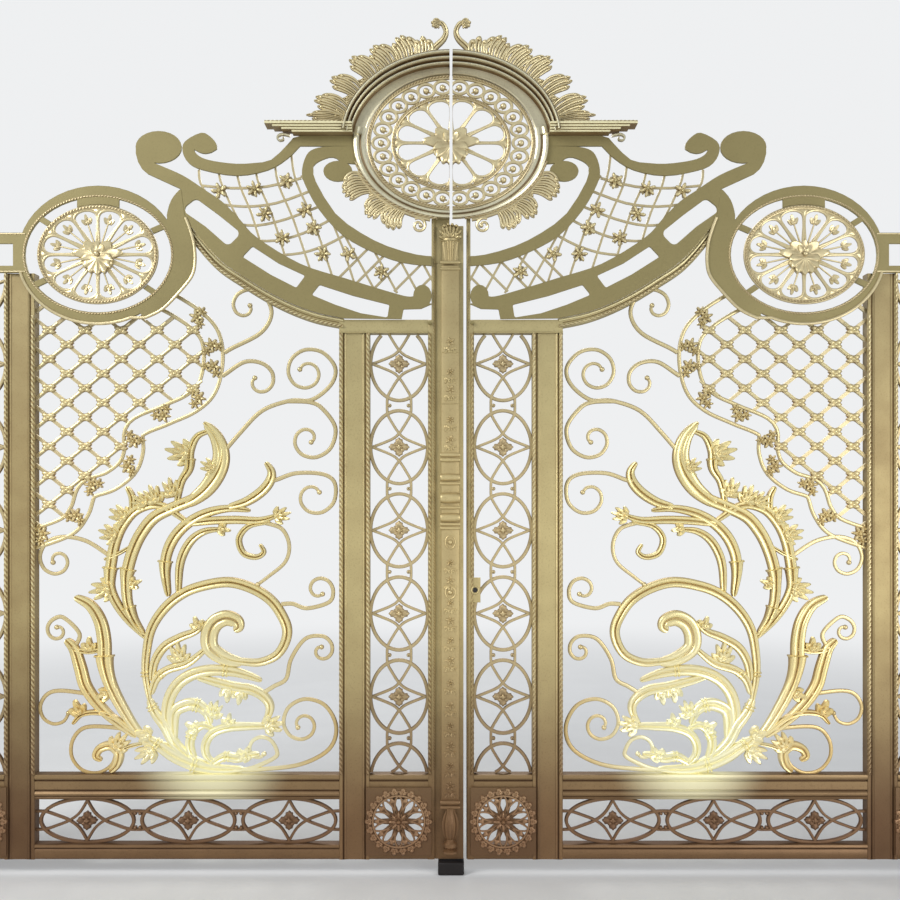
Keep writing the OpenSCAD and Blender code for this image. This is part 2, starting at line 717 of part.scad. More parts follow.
// The slots, each given by its corners
slot_list = [
  [[1020, 2706], [930, 2640], [838, 2566], [890, 2513], [980, 2592], [1078, 2660]],
  [[794, 2514], [690, 2446], [582, 2396], [618, 2348], [720, 2400], [834, 2472]],
  [[526, 2360], [390, 2316], [246, 2280], [254, 2229], [360, 2246], [462, 2280], [558, 2320]],
  [[190, 2262], [120, 2264], [60, 2290], [60, 2212], [198, 2220]]];
module top_slots() {
  for (k = [0:len(slot_list) - 1])
    offset(r = [22, 8, 8, 5][k])
      offset(delta = -[22, 8, 8, 5][k])
        polygon(raised(slot_list[k]));
}
module top_outline() {
  sweep_outline();
  small_band_outline();
  hook_outline();
}
module top_plate(side) {
  color(pale)
    upright(side, plate_y, plate_t)
      difference() {
        top_outline();
        top_slots();
        offset(delta = seat)
          ring_outline();
        offset(delta = seat)
          rail_outline();
        offset(delta = seat)
          crown_outline();
        square([neck_half_w, 2 * post_h]);
        square([main_u0, rail_top_z]);
      }
}

// Thin curved bars behind the sweep, between its top edge, the small band and the hook
lattice_down = [
  [[1010, 2830], [1004, 2770], [960, 2700]], [[930, 2830], [924, 2780], [886, 2690], [850, 2620]],
  [[860, 2830], [846, 2760], [800, 2650], [760, 2520]], [[784, 2830], [768, 2760], [716, 2640], [660, 2460]],
  [[706, 2850], [690, 2760], [630, 2620], [560, 2410]], [[640, 2890], [622, 2780], [548, 2610], [470, 2380]],
  [[600, 2800], [470, 2600], [384, 2360]]];
lattice_across = [
  [[1000, 2760], [880, 2750], [740, 2756], [600, 2790]], [[960, 2690], [830, 2676], [700, 2690], [560, 2740]],
  [[880, 2610], [780, 2600], [660, 2626], [520, 2680]], [[800, 2540], [700, 2540], [590, 2570], [470, 2630]],
  [[700, 2480], [600, 2490], [500, 2522], [410, 2570]]];
module crest_area() {
  polygon(raised([[1064, 2780], [906, 2666], [770, 2532], [598, 2426], [430, 2370], [260, 2322],
    [170, 2296], [72, 2290], [72, 2456], [197, 2472], [320, 2516], [424, 2576], [518, 2676],
    [562, 2763], [574, 2850], [620, 2916], [664, 2886], [732, 2840], [856, 2822], [990, 2840]]));
}
module crest_bars() {
  for (line = concat(lattice_down, lattice_across))
    bar(smooth(raised(line), 3), [crest_bar_w, crest_bar_w]);
  for (k = [0:4]) {
    bar(raised([[470 - k * 84, 2640], [300 - k * 84, 2330]]), [crest_bar_w, crest_bar_w]);
    bar(raised([[480 - k * 84, 2360 - k * 8], [300 - k * 84, 2540 - k * 8]]), [crest_bar_w, crest_bar_w]);
  }
}
star_list = [[926, 2736], [786, 2744], [658, 2776], [746, 2644], [584, 2660], [674, 2548],
  [550, 2588], [514, 2484], [410, 2484], [278, 2412]];
module crest_lattice(side) {
  color(pale)
    upright(side, plate_y + plate_t, 8) {
      difference() {
        intersection() {
          crest_area();
          crest_bars();
        }
        square([neck_half_w + seat, 2 * post_h]);
      }
      for (p = star_list, k = [0:4])
        rotate_about(up(p), k * 72)
          bar([up(p), up(p) + [26, 0]], [8, 14]);
    }
}

// Centre medallion, one half on each leaf
module half_plane() {
  translate([meeting_gap / 2, 0])
    square([leaf_u, 2 * post_h]);
}
module centre_medallion(side) {
  r = crown_r - [seat, seat];
  mid_r = sized([232, 184]);
  rim_w = 18;
  hub_w = 16;
  circle_c = (r - [rim_w, rim_w] + mid_r + [hub_w, hub_w] / 2) / 2;
  circle_r = [35, 27];
  color(gold)
    upright(side, plate_y - 10, plate_t + 10)
      intersection() {
        half_plane();
        union() {
          ring(crown_c, r - [rim_w, rim_w] / 2, rim_w, 48);
          ring(crown_c, mid_r, hub_w, 36);
          for (k = [-6:6])
            let (a = k * 360 / 26)
              ring(crown_c + [circle_c.x * cos(a), circle_c.y * sin(a)], circle_r, 9, 8);
          petals(crown_c, mid_r - [6, 6], 12, 50);
          leafy_boss(crown_c, [88, 74], 8);
        }
      }
}

// Arch hood over the medallion: a flat band, three stepped mouldings and the cornice at its foot
arch_steps = [[0.34, 12, 36], [0.67, 12, 54], [1, 12, 72]];
cornice_ends = [630, 670, 705, 735];
cornice_step = 8.75;
module arch(side) {
  color(gold) {
    upright(side, plate_y - 12, plate_t + 12)
      intersection() {
        half_plane();
        difference() {
          crown_outline();
          polygon(oval(crown_c, crown_r, n = 48));
        }
      }
    for (s = arch_steps)
      let (r = mix(band_r, arch_r, s[0]) - [s[1], s[1]] / 2)
        upright(side, plate_y - s[2], s[2] - 6)
          intersection() {
            half_plane();
            bar(oval(crown_c, r, 5.5, 90, 24), [s[1], s[1]]);
          }
    for (k = [0:len(cornice_ends) - 1])
      block(side, band_r.x, up([cornice_ends[k], 0]).x, plate_y - 24 - k * 16, plate_y + 8,
        cornice_z + k * cornice_step, cornice_z + (k + 1) * cornice_step);
  }
}

// Leaf cresting: bundles of long lobes over the arch and under the medallion, the finial curl and
// a round scroll beside the neck. A bundle has a root, a tip, half its spread and a count of lobes.
crest_bundles = [
  [[430, 3022], [578, 3038], 14, 3], [[412, 3046], [546, 3104], 28, 4],
  [[362, 3120], [483, 3183], 28, 4], [[300, 3180], [404, 3266], 30, 4],
  [[232, 3222], [320, 3308], 34, 4], [[168, 3248], [213, 3352], 36, 4],
  [[114, 3264], [117, 3352], 26, 3], [[330, 2762], [433, 2727], 42, 5],
  [[262, 2694], [339, 2633], 30, 4], [[212, 2660], [240, 2580], 34, 4]];
finial = [[100, 3262], [66, 3306], [30, 3342], [20, 3374], [36, 3404], [58, 3402], [62, 3386]];
neck_scroll = up([129, 2597]);
bead_bar_w = 18;
module lobe(root, tip, w) {
  across = w * [root.y - tip.y, tip.x - root.x] / norm(tip - root);
  half = [[0, 0.5], [0.6, 1], [0.92, 0.8], [1, 0.2]];
  strip([for (s = half) mix(root, tip, s[0]) + s[1] * across],
    [for (s = half) mix(root, tip, s[0]) - s[1] * across]);
}
module bundle(root, tip, spread, count) {
  across = spread * [root.y - tip.y, tip.x - root.x] / norm(tip - root);
  for (k = [0:count - 1])
    let (s = 2 * k / (count - 1) - 1)
      lobe(root + 0.45 * s * across, tip + s * across - 0.1 * s * s * (tip - root),
        0.92 * spread / (count - 1));
}
module crest_leaves() {
  for (b = crest_bundles)
    bundle(up(b[0]), up(b[1]), b[2], b[3]);
  bar(oval(crown_c, arch_r + [8, 8], 13, 84, 24), [bead_bar_w, bead_bar_w]);
  bar(oval(crown_c, under_r + [8, 8], -78, -22, 24), [bead_bar_w, bead_bar_w]);
  bar(smooth(raised(finial)), [20, 10]);
  bundle(up([44, 3400]), up([80, 3412]), 12, 3);
  bar([for (k = [0:12]) neck_scroll + (31 - 1.9 * k) * [cos(60 + 40 * k), sin(60 + 40 * k)]], [13, 11]);
}
module cresting(side) {
  color(gold)
    upright(side, plate_y - 6, 16)
      difference() {
        intersection() {
          half_plane();
          crest_leaves();
        }
        offset(delta = seat)
          crown_outline();
        offset(delta = seat)
          hook_outline();
        square([neck_half_w, crown_c.y - under_r.y / 2]);
      }
}

// Pilaster over the meeting line: capital, flat shaft, round mouldings, vase and knob
column_half_w = 36;
column_t = 24;
column_u = -3;
recess = 8;
rod_list = [[2444, 9], [2424, 6], [1680, 9], [1660, 9], [1590, 15], [1566, 7], [1508, 22], [1470, 7],
  [1430, 18], [1404, 7], [1388, 7], [296, 10], [276, 8]];
vase_profile = [[0, 92], [30, 92], [30, 102], [18, 108], [27, 118], [27, 132], [16, 142], [16, 148],
  [26, 162], [33, 190], [34, 214], [28, 240], [20, 256], [22, 270], [0, 270]];
capital_profile = [[0, 2450], [26, 2450], [30, 2480], [40, 2520], [43, 2548], [34, 2562], [34, 2580],
  [44, 2592], [44, 2606], [0, 2606]];
module cover_column() {
  y = front_y - column_t;
  turned = [vase_profile, capital_profile];
  color(gold) {
    block(left, column_u - column_half_w, column_u + column_half_w, y, front_y + recess, 270, wide_top);
    block(left, column_u - column_half_w, column_u + column_half_w, y + 14, front_y, wide_top, height(2600));
    for (m = rod_list)
      translate([post_u - column_u - column_half_w - 3, y, height(m[0])])
        rotate([0, 90, 0])
          cylinder(h = 2 * column_half_w + 6, r = m[1], $fn = 32);
    for (k = [0, 1])
      intersection() {
        translate([post_u - column_u, front_y - 14, 0])
          rotate_extrude($fn = 40)
            polygon([for (p = turned[k]) [p.x, height(p.y)]]);
        block(left, column_u - 50, column_u + 50, front_y - 80, front_y + recess * (1 - k), 0, 2 * post_h);
      }
  }
}
lock_h = 100;
lock_z = 1090;
keyhole_r = 12;
module lock_case() {
  color(gold)
    difference() {
      block(right, neck_half_w - 8, meeting_half_w + 26, front_y - 6, front_y, lock_z, lock_z + lock_h);
      translate([post_u + meeting_half_w + 4, front_y - 10, lock_z + lock_h / 2])
        rotate([-90, 0, 0])
          cylinder(h = 20, r = keyhole_r, $fn = 24);
    }
}

left_post();
right_post();
base_plates();
post_caps();
hinge_brackets();
floor_stop();
stiles(left);  // left_stiles
meeting_stile(left);  // left_meeting_stile
rails(left);  // left_rails
hinge_knuckles(left);  // left_hinge_knuckles
oval_panels(left);  // left_oval_panels
low_panel(left);  // left_low_panel
corner_rosettes(left);  // left_corner_rosettes
lattice(left);  // left_lattice
ribbon(left);  // left_ribbon
scrolls(left);  // left_scrolls
acanthus(left);  // left_acanthus
ring_plate(left);  // left_ring_plate
side_medallion(left);  // left_side_medallion
top_plate(left);  // left_top_plate
crest_lattice(left);  // left_crest_lattice
centre_medallion(left);  // left_centre_medallion
arch(left);  // left_arch
cresting(left);  // left_cresting
cover_column();
stiles(right);  // right_stiles
meeting_stile(right);  // right_meeting_stile
rails(right);  // right_rails
hinge_knuckles(right);  // right_hinge_knuckles
oval_panels(right);  // right_oval_panels
low_panel(right);  // right_low_panel
corner_rosettes(right);  // right_corner_rosettes
lattice(right);  // right_lattice
ribbon(right);  // right_ribbon
scrolls(right);  // right_scrolls
acanthus(right);  // right_acanthus
ring_plate(right);  // right_ring_plate
side_medallion(right);  // right_side_medallion
top_plate(right);  // right_top_plate
crest_lattice(right);  // right_crest_lattice
centre_medallion(right);  // right_centre_medallion
arch(right);  // right_arch
cresting(right);  // right_cresting
lock_case();
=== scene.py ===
"""Looks of a wrought iron driveway gate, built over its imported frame."""

import bmesh
import bpy
import numpy as np
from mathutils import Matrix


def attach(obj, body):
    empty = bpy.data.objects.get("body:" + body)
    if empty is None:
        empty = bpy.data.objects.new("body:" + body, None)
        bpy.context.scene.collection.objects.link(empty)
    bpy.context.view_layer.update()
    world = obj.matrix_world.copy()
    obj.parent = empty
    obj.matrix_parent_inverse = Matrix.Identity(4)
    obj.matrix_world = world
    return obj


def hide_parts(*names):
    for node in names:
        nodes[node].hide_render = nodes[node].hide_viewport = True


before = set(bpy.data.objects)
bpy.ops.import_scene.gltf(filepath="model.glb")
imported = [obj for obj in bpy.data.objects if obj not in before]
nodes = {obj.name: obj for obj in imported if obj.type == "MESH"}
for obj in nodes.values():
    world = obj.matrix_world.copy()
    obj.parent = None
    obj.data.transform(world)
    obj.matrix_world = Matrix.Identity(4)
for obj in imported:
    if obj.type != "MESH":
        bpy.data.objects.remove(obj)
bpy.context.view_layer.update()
scene = bpy.context.scene


# ---- Floor, light and camera
# A plain pale floor under a soft studio sky. The camera stands square in front of the closed
# gate at eye height. A pixel is PIXEL metres on the plane CLEAR_PLANE before the leaves' middle.
GATE_MIDDLE = 2.211
FRAME_PIXELS = 900
PIXEL = 0.004
EYE_HEIGHT = 1.5
EYE_DISTANCE = 4.25
CLEAR_PLANE = 0.03
FRAME_MIDDLE = (2.207, 1.70)
SENSOR = 36.0

camera = bpy.data.cameras.new("camera")
camera.sensor_width = SENSOR
camera.lens = SENSOR * (EYE_DISTANCE - CLEAR_PLANE) / (FRAME_PIXELS * PIXEL)
camera.shift_y = (FRAME_MIDDLE[1] - EYE_HEIGHT) / (FRAME_PIXELS * PIXEL)
viewer = bpy.data.objects.new("camera", camera)
viewer.location = (FRAME_MIDDLE[0], -EYE_DISTANCE, EYE_HEIGHT)
viewer.rotation_euler = (np.pi / 2, 0, 0)
scene.collection.objects.link(viewer)
scene.camera = viewer
scene.view_settings.view_transform = "Standard"


def soft_lamp(name, size, power, place, aim):
    """A square lamp of that size in metres at place, facing aim."""
    lamp = bpy.data.lights.new(name, "AREA")
    lamp.size = size
    lamp.energy = power
    holder = bpy.data.objects.new(name, lamp)
    holder.location = place
    away = np.subtract(place, aim)
    flat = np.hypot(away[0], away[1])
    holder.rotation_euler = (np.arctan2(flat, away[2]), 0, np.arctan2(away[1], away[0]) + np.pi / 2)
    scene.collection.objects.link(holder)


soft_lamp("key_lamp", 3.0, 380, (-3.2, -4.2, 5.4), (2.2, 0, 1.6))
soft_lamp("fill_lamp", 3.0, 140, (6.2, -4.6, 1.7), (2.2, 0, 2.2))
soft_lamp("back_lamp", 3.0, 130, (2.2, 4.5, 5.0), (2.2, 0, 1.8))


def feed(tree, socket, value):
    """Puts a value on a socket, or links an output to it."""
    if isinstance(value, bpy.types.NodeSocket):
        tree.links.new(value, socket)
    else:
        socket.default_value = value


def add_node(tree, kind, inputs=(), **settings):
    """A shader node with its settings. Inputs map a socket's name or place to a value or output."""
    node = tree.nodes.new("ShaderNode" + kind)
    for name, value in settings.items():
        setattr(node, name, value)
    for place, value in dict(inputs).items():
        feed(tree, node.inputs[place], value)
    return node


HAZE = (0.86, 0.87, 0.88, 1)
sky = bpy.data.worlds.new("studio_sky")
scene.world = sky
sky.use_nodes = True
tree = sky.node_tree
tree.nodes.clear()
seen_sky = add_node(tree, "Background", {"Color": HAZE})
lit_sky = add_node(tree, "Background", {"Color": (0.74, 0.78, 0.84, 1), "Strength": 0.55})
rays = add_node(tree, "LightPath")
choice = add_node(tree, "MixShader", {"Fac": rays.outputs["Is Camera Ray"], 1: lit_sky.outputs[0],
    2: seen_sky.outputs[0]})
add_node(tree, "OutputWorld", {"Surface": choice.outputs[0]})


def add_range(tree, value, start, end, low=0.0, high=1.0, kind="LINEAR"):
    """Map Range: value from start to end becomes low to high."""
    return add_node(tree, "MapRange", {"Value": value, "From Min": start, "From Max": end,
        "To Min": low, "To Max": high}, interpolation_type=kind).outputs[0]


def add_math(tree, kind, first, second):
    """One Math node on two numbers or outputs."""
    return add_node(tree, "Math", {0: first, 1: second}, operation=kind).outputs[0]


def add_mix(tree, factor, a, b, blend="MIX"):
    """One colour mix of a and b, each a colour or an output."""
    return add_node(tree, "Mix", {"Factor": factor, "A": a, "B": b}, data_type="RGBA",
        blend_type=blend).outputs["Result"]


floor_mesh = bpy.data.meshes.new("floor")
floor_mesh.from_pydata([(-30, -20, 0), (34, -20, 0), (34, 40, 0), (-30, 40, 0)], [], [(0, 1, 2, 3)])
floor = bpy.data.objects.new("floor", floor_mesh)
scene.collection.objects.link(floor)
floor_paint = bpy.data.materials.new("pale_floor")
floor_paint.use_nodes = True
tree = floor_paint.node_tree
place = add_node(tree, "TexCoord").outputs["Object"]
spots = add_node(tree, "TexNoise", {"Scale": 3.0, "Vector": place})
tone = add_mix(tree, spots.outputs["Fac"], (0.70, 0.70, 0.69, 1), (0.76, 0.76, 0.75, 1))
matt = tree.nodes["Principled BSDF"]
feed(tree, matt.inputs["Base Color"], tone)
feed(tree, matt.inputs["Roughness"], 0.9)
far = add_node(tree, "VectorMath", {0: place, 1: (GATE_MIDDLE, 0, 0)}, operation="DISTANCE")
seen = add_node(tree, "LightPath").outputs["Is Camera Ray"]
distance = add_range(tree, far.outputs["Value"], 2.2, 9.0, kind="SMOOTHSTEP")
faded = add_math(tree, "MULTIPLY", distance, seen)
glow = add_node(tree, "Emission", {"Color": HAZE})
blend = add_node(tree, "MixShader", {"Fac": faded, 1: matt.outputs[0], 2: glow.outputs[0]})
feed(tree, tree.nodes["Material Output"].inputs["Surface"], blend.outputs[0])
floor.data.materials.append(floor_paint)


# ---- Posts
# Two square welded steel posts on bolted base plates, with a turned ball cap each. They are
# painted in the gate's satin gold, which shows brush grain and darker hollows, partly darkened
# paint and partly painted shade.
def shader_group(name, inputs, outputs):
    """An empty shader node group with the named sockets, and its two end nodes."""
    group = bpy.data.node_groups.new(name, "ShaderNodeTree")
    for label, kind in inputs:
        group.interface.new_socket(label, in_out="INPUT", socket_type=kind)
    for label, kind in outputs:
        group.interface.new_socket(label, in_out="OUTPUT", socket_type=kind)
    return group, group.nodes.new("NodeGroupInput"), group.nodes.new("NodeGroupOutput")


COLOUR = "NodeSocketColor"
NUMBER = "NodeSocketFloat"
# Middle of the painted floodlight glow on each leaf, in metres across from the gate's middle and
# up.
GLOW_SPOT = (0.96, 0.52)
# Cool grey tint towards the crest: painted reflection of the grey ceiling.
CEILING_REFLECTION_TINT = (0.80, 0.82, 0.84, 1)
GRAIN_SCALE = 160.0
GRAIN_DEPTH = 0.002
HOLLOW_ROUGHER = 0.18


def add_noise(group, scale, detail):
    """Noise on Object coordinates."""
    place = add_node(group, "TexCoord").outputs["Object"]
    noise = add_node(group, "TexNoise", {"Scale": scale, "Detail": detail, "Vector": place})
    return noise.outputs["Fac"]


def patina_and_shade_group():
    """Crest colour on raised places and hollow colour in low ones: the hollow colour is partly
    darkened paint and partly painted shade in grooves, recesses and on sides turned from the
    light. The change between them is moved by noise, and small dark specks lie over both."""
    group, ins, outs = shader_group("patina_and_shade", [("Crest", COLOUR), ("Hollow", COLOUR),
        ("Relief", NUMBER), ("Specks", NUMBER)], [("Color", COLOUR), ("Bare", NUMBER)])
    moved = add_math(group, "ADD", ins.outputs["Relief"],
        add_math(group, "MULTIPLY", add_noise(group, 7.0, 3.0), 0.5))
    level = add_node(group, "Clamp", {"Value": add_math(group, "SUBTRACT", moved, 0.25)}).outputs[0]
    toned = add_mix(group, level, ins.outputs["Hollow"], ins.outputs["Crest"])
    spot = add_range(group, add_noise(group, 150.0, 3.0), 0.36, 0.44, 1.0, 0.0)
    share = add_math(group, "MULTIPLY", spot, ins.outputs["Specks"])
    feed(group, outs.inputs["Color"], add_mix(group, share, toned, ins.outputs["Hollow"]))
    feed(group, outs.inputs["Bare"], level)
    return group


def height_tone_group():
    """Multiplies a colour by Low Tint near the ground and by High Tint at the crest, whose grey
    paints a reflection of the grey ceiling, with the change from the one over the first 1.1 m of
    Object Z and to the other over the last."""
    group, ins, outs = shader_group("height_tone", [("Color", COLOUR), ("Low Tint", COLOUR),
        ("High Tint", COLOUR)], [("Color", COLOUR)])
    place = add_node(group, "TexCoord").outputs["Object"]
    height = add_node(group, "SeparateXYZ", {0: place}).outputs["Z"]
    tint = ins.outputs["Low Tint"]
    for bottom, top, colour in ((0.15, 1.12, (1, 1, 1, 1)), (1.3, 2.4, ins.outputs["High Tint"])):
        share = add_range(group, height, bottom, top, kind="SMOOTHSTEP")
        tint = add_mix(group, share, tint, colour)
    feed(group, outs.inputs["Color"], add_mix(group, 1.0, ins.outputs["Color"], tint, "MULTIPLY"))
    return group


def painted_glow_group():
    """Painted pool of floodlight glow: lightens a colour round one place low on each leaf."""
    group, ins, outs = shader_group("painted_glow_gilding", [("Color", COLOUR), ("Pale", COLOUR),
        ("Reach", NUMBER)], [("Color", COLOUR)])
    place = add_node(group, "TexCoord").outputs["Object"]
    parts = add_node(group, "SeparateXYZ", {0: place})
    aside = add_math(group, "SUBTRACT", parts.outputs["X"], GATE_MIDDLE)
    aside = add_math(group, "ABSOLUTE", aside, 0)
    du = add_math(group, "SUBTRACT", aside, GLOW_SPOT[0])
    dz = add_math(group, "SUBTRACT", parts.outputs["Z"], GLOW_SPOT[1])
    far = add_math(group, "SQRT", add_math(group, "ADD", add_math(group, "MULTIPLY", du, du),
        add_math(group, "MULTIPLY", dz, dz)), 0)
    near = add_range(group, far, 0.08, ins.outputs["Reach"], 1.0, 0.0, "SMOOTHSTEP")
    feed(group, outs.inputs["Color"], add_mix(group, near, ins.outputs["Color"],
        ins.outputs["Pale"]))
    return group


def brush_grain_group():
    """Height of sprayed paint over rough castings: two sizes of noise added."""
    group, ins, outs = shader_group("brush_grain", [("Scale", NUMBER)], [("Height", NUMBER)])
    fine = add_noise(group, ins.outputs["Scale"], 2.0)
    broad = add_math(group, "MULTIPLY", add_noise(group, 30.0, 2.0), 0.6)
    feed(group, outs.inputs["Height"], add_math(group, "ADD", fine, broad))
    return group


patina_and_shade = patina_and_shade_group()
height_tone = height_tone_group()
painted_glow = painted_glow_group()
brush_grain = brush_grain_group()


def gold_paint(name, crest, hollow, metal, rough, specks=0.18, grain=0.08, reach=0.0, relief=None,
        pale=(1.0, 0.95, 0.62), low=(0.35, 0.24, 0.225)):
    """Gold paint: crest and hollow colours by the piece's relief attribute, the hollow colour
    partly darkened paint and partly painted shade, tinted by height with a painted reflection of
    the grey ceiling at the top, with reach a painted pool of floodlight glow, and with grain as
    bump.
    """
    paint = bpy.data.materials.new(name)
    paint.use_nodes = True
    net = paint.node_tree
    if relief is None:
        relief = add_node(net, "Attribute", attribute_name="relief").outputs["Fac"]
    worn = add_node(net, "Group", {"Crest": (*crest, 1), "Hollow": (*hollow, 1), "Specks": specks,
        "Relief": relief}, node_tree=patina_and_shade)
    colour = add_node(net, "Group", {"Low Tint": (*low, 1), "High Tint": CEILING_REFLECTION_TINT,
        "Color": worn.outputs["Color"]}, node_tree=height_tone).outputs["Color"]
    # With reach, a painted pool of floodlight glow lightens the colour round one place on each
    # leaf.
    if reach:
        colour = add_node(net, "Group", {"Pale": (*pale, 1), "Reach": reach, "Color": colour},
            node_tree=painted_glow).outputs["Color"]
    texture = add_node(net, "Group", {"Scale": GRAIN_SCALE}, node_tree=brush_grain)
    bump = add_node(net, "Bump", {"Strength": grain, "Distance": GRAIN_DEPTH,
        "Height": texture.outputs["Height"]})
    shader = net.nodes["Principled BSDF"]
    feed(net, shader.inputs["Base Color"], colour)
    feed(net, shader.inputs["Roughness"], add_range(net, worn.outputs["Bare"], 0.0, 1.0,
        rough + HOLLOW_ROUGHER, rough))
    feed(net, shader.inputs["Metallic"], metal)
    feed(net, shader.inputs["Normal"], bump.outputs["Normal"])
    return paint


MERGE = 0.00002
FLAT_ANGLE = 0.02
EDGE_ANGLE = 0.6


def repaint(node, paint):
    """Gives a CAD node its finish."""
    slots = nodes[node].data.materials
    if not len(slots):
        slots.append(paint)
    for k in range(len(slots)):
        slots[k] = paint


def crisp_copy(name, node, width, paint, body):
    """A copy of a CAD node, its loose triangles merged and its flat faces joined, with every
    sharp edge rounded to width metres. It stands for the node."""
    mesh = bpy.data.meshes.new(name)
    work = bmesh.new()
    work.from_mesh(nodes[node].data)
    bmesh.ops.remove_doubles(work, verts=work.verts, dist=MERGE)
    bmesh.ops.dissolve_limit(work, angle_limit=FLAT_ANGLE, verts=work.verts, edges=work.edges)
    work.to_mesh(mesh)
    work.free()
    mesh.materials.clear()
    mesh.materials.append(paint)
    made = bpy.data.objects.new(name, mesh)
    scene.collection.objects.link(made)
    edge = made.modifiers.new("eased_edge", "BEVEL")
    edge.width = width
    edge.segments = 2
    edge.limit_method = "ANGLE"
    edge.angle_limit = EDGE_ANGLE
    mesh.shade_smooth()
    mesh.set_sharp_from_angle(angle=EDGE_ANGLE)
    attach(made, body)
    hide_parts(node)
    return made


def crisp_pair(name, node, width, paint):
    """crisp_copy of a node on each leaf. Both names are given without their side."""
    for side in ("left_", "right_"):
        crisp_copy(side + name, side + node, width, paint, side + "leaf")


post_paint = gold_paint("post_paint", (0.50, 0.41, 0.20), (0.26, 0.19, 0.08), 0.5, 0.46,
    relief=0.75)
for name, node, width in (("left_post_shell", "left_post", 0.004),
        ("right_post_shell", "right_post", 0.004), ("base_plate_pair", "base_plates", 0.003),
        ("post_cap_pair", "post_caps", 0.003)):
    crisp_copy(name, node, width, post_paint, "root")


# ---- Hinges and floor stop
# Steel pins in welded bracket plates carry the knuckles at the back of each leaf. A black
# cast stop block stands on the ground under the meeting stiles.
black_iron = gold_paint("black_iron", (0.035, 0.033, 0.03), (0.012, 0.011, 0.01), 0.2, 0.55,
    relief=0.6)
for node in ("hinge_brackets", "left_hinge_knuckles", "right_hinge_knuckles"):
    repaint(node, post_paint)
crisp_copy("floor_stop_block", "floor_stop", 0.006, black_iron, "root")


# ---- Stiles
# Forged box stiles with a raised rib at each edge, a groove inside it that is painted dark, partly
# darkened paint and partly painted shade, and a twisted rope trim welded along every opening. Each
# leaf has three and a meeting stile. Sizes are in mm from here on: u outwards from the gate's
# middle, y in depth (front below 0) and z in height.
LEFT, RIGHT = -1, 1
DEPTH = 50.0
FRONT = -25.0
BACK = 25.0
GROUND_GAP = 60.0
PANEL_Z = 400.0
SPRING_Z = 2168.0
ARM_Z = (2408.0, 2568.0)
INNER = (92.0, 326.0)
MAIN = (448.0, 1668.0)
OUTER = (1790.0, 2024.0)
LEAF_W = 2110.0
ROPE_R = 6.5
ROPE_PITCH = 21.0
ROPE_IN = 7.0
ROPE_Y = FRONT - 2


def flow(points, steps=8):
    """Smooth curve through points. Between b and c, with neighbours a and d, it is
    (2b + (c-a)t + (2a-5b+4c-d)t^2 + (3b-a-3c+d)t^3) / 2."""
    p = np.asarray(points, float)
    q = np.vstack([p[:1], p, p[-1:]])
    t = (np.arange(steps) / steps)[None, :, None]
    a, b, c, d = (q[i:len(q) - 3 + i, None, :] for i in range(4))
    out = 0.5 * (2 * b + (c - a) * t + (2 * a - 5 * b + 4 * c - d) * t ** 2
        + (3 * b - a - 3 * c + d) * t ** 3)
    return np.vstack([out.reshape(-1, p.shape[1]), p[-1:]])


def spaced(count):
    """Angles at equal steps round a circle."""
    return np.arange(count) * 2 * np.pi / count


def polar(middle, r, a):
    """Points middle + r (cos a, sin a)."""
    return np.asarray(middle, float) + np.column_stack([r * np.cos(a), r * np.sin(a)])


def oval(middle, radii, start=0.0, end=360.0, count=48):
    """Points middle + (rx cos a, rz sin a), a in degrees from start to end."""
    a = np.radians(np.linspace(start, end, count + 1))
    return np.column_stack([middle[0] + radii[0] * np.cos(a), middle[1] + radii[1] * np.sin(a)])


def spun(points, a):
    """Points turned by the angle a about the origin."""
    return np.asarray(points) @ np.array([[np.cos(a), np.sin(a)], [-np.sin(a), np.cos(a)]])


def sideways(path, closed=False):
    """Unit normals of a path, to the left of its run."""
    ahead = np.roll(path, -1, 0) - np.roll(path, 1, 0) if closed else np.gradient(path, axis=0)
    ahead = ahead / np.maximum(np.linalg.norm(ahead, axis=1, keepdims=True), 1e-9)
    return np.column_stack([-ahead[:, 1], ahead[:, 0]])


def stood(flat, depth):
    """Points (u, z) with their depth y put between."""
    return np.stack([flat[..., 0], depth + 0 * flat[..., 0], flat[..., 1]], -1)


def mirrored(half):
    """Section rows (a, b, relief), then the same with -a in turn back."""
    return half + [(-a, b, r) for a, b, r in reversed(half)]


def paced(path, step):
    """The path cut again into equal steps along its length."""
    path = np.asarray(path, float)
    run = np.concatenate([[0], np.cumsum(np.linalg.norm(np.diff(path, axis=0), axis=1))])
    at = np.linspace(0, run[-1], max(2, int(round(run[-1] / step)) + 1))
    return np.column_stack([np.interp(at, run, path[:, k]) for k in range(path.shape[1])]), at


def loft(rings, relief, closed=False):
    """Closed skin over rings (n, m, 3). Ring i joins ring i+1 point by point. Open ends are
    closed to their middle points. Faces are turned outwards by the sign of the volume."""
    n, m = rings.shape[:2]
    verts = rings.reshape(-1, 3)
    tone = np.broadcast_to(relief, (n, m)).reshape(-1)
    i, j = np.meshgrid(np.arange(n if closed else n - 1), np.arange(m), indexing="ij")
    i2, j2 = (i + 1) % n, (j + 1) % m
    quads = np.stack([i * m + j, i2 * m + j, i2 * m + j2, i * m + j2], -1).reshape(-1, 4)
    tris = np.zeros((0, 3), int)
    if not closed:
        middles = np.vstack([rings[0].mean(0), rings[-1].mean(0)])
        verts = np.vstack([verts, middles])
        tone = np.concatenate([tone, [tone[:m].mean(), tone[-m:].mean()]])
        k = np.arange(m)
        k2 = (k + 1) % m
        tris = np.vstack([np.stack([k, k2, np.full(m, n * m)], -1),
            np.stack([(n - 1) * m + k2, (n - 1) * m + k, np.full(m, n * m + 1)], -1)])
    every = np.vstack([quads[:, :3], quads[:, [0, 2, 3]], tris])
    inside = verts - verts.mean(0)
    corner = inside[every]
    volume = np.einsum("ij,ij->i", corner[:, 0], np.cross(corner[:, 1], corner[:, 2])).sum()
    if volume < 0:
        quads, tris = quads[:, ::-1], tris[:, ::-1]
    return verts, quads, tris, tone


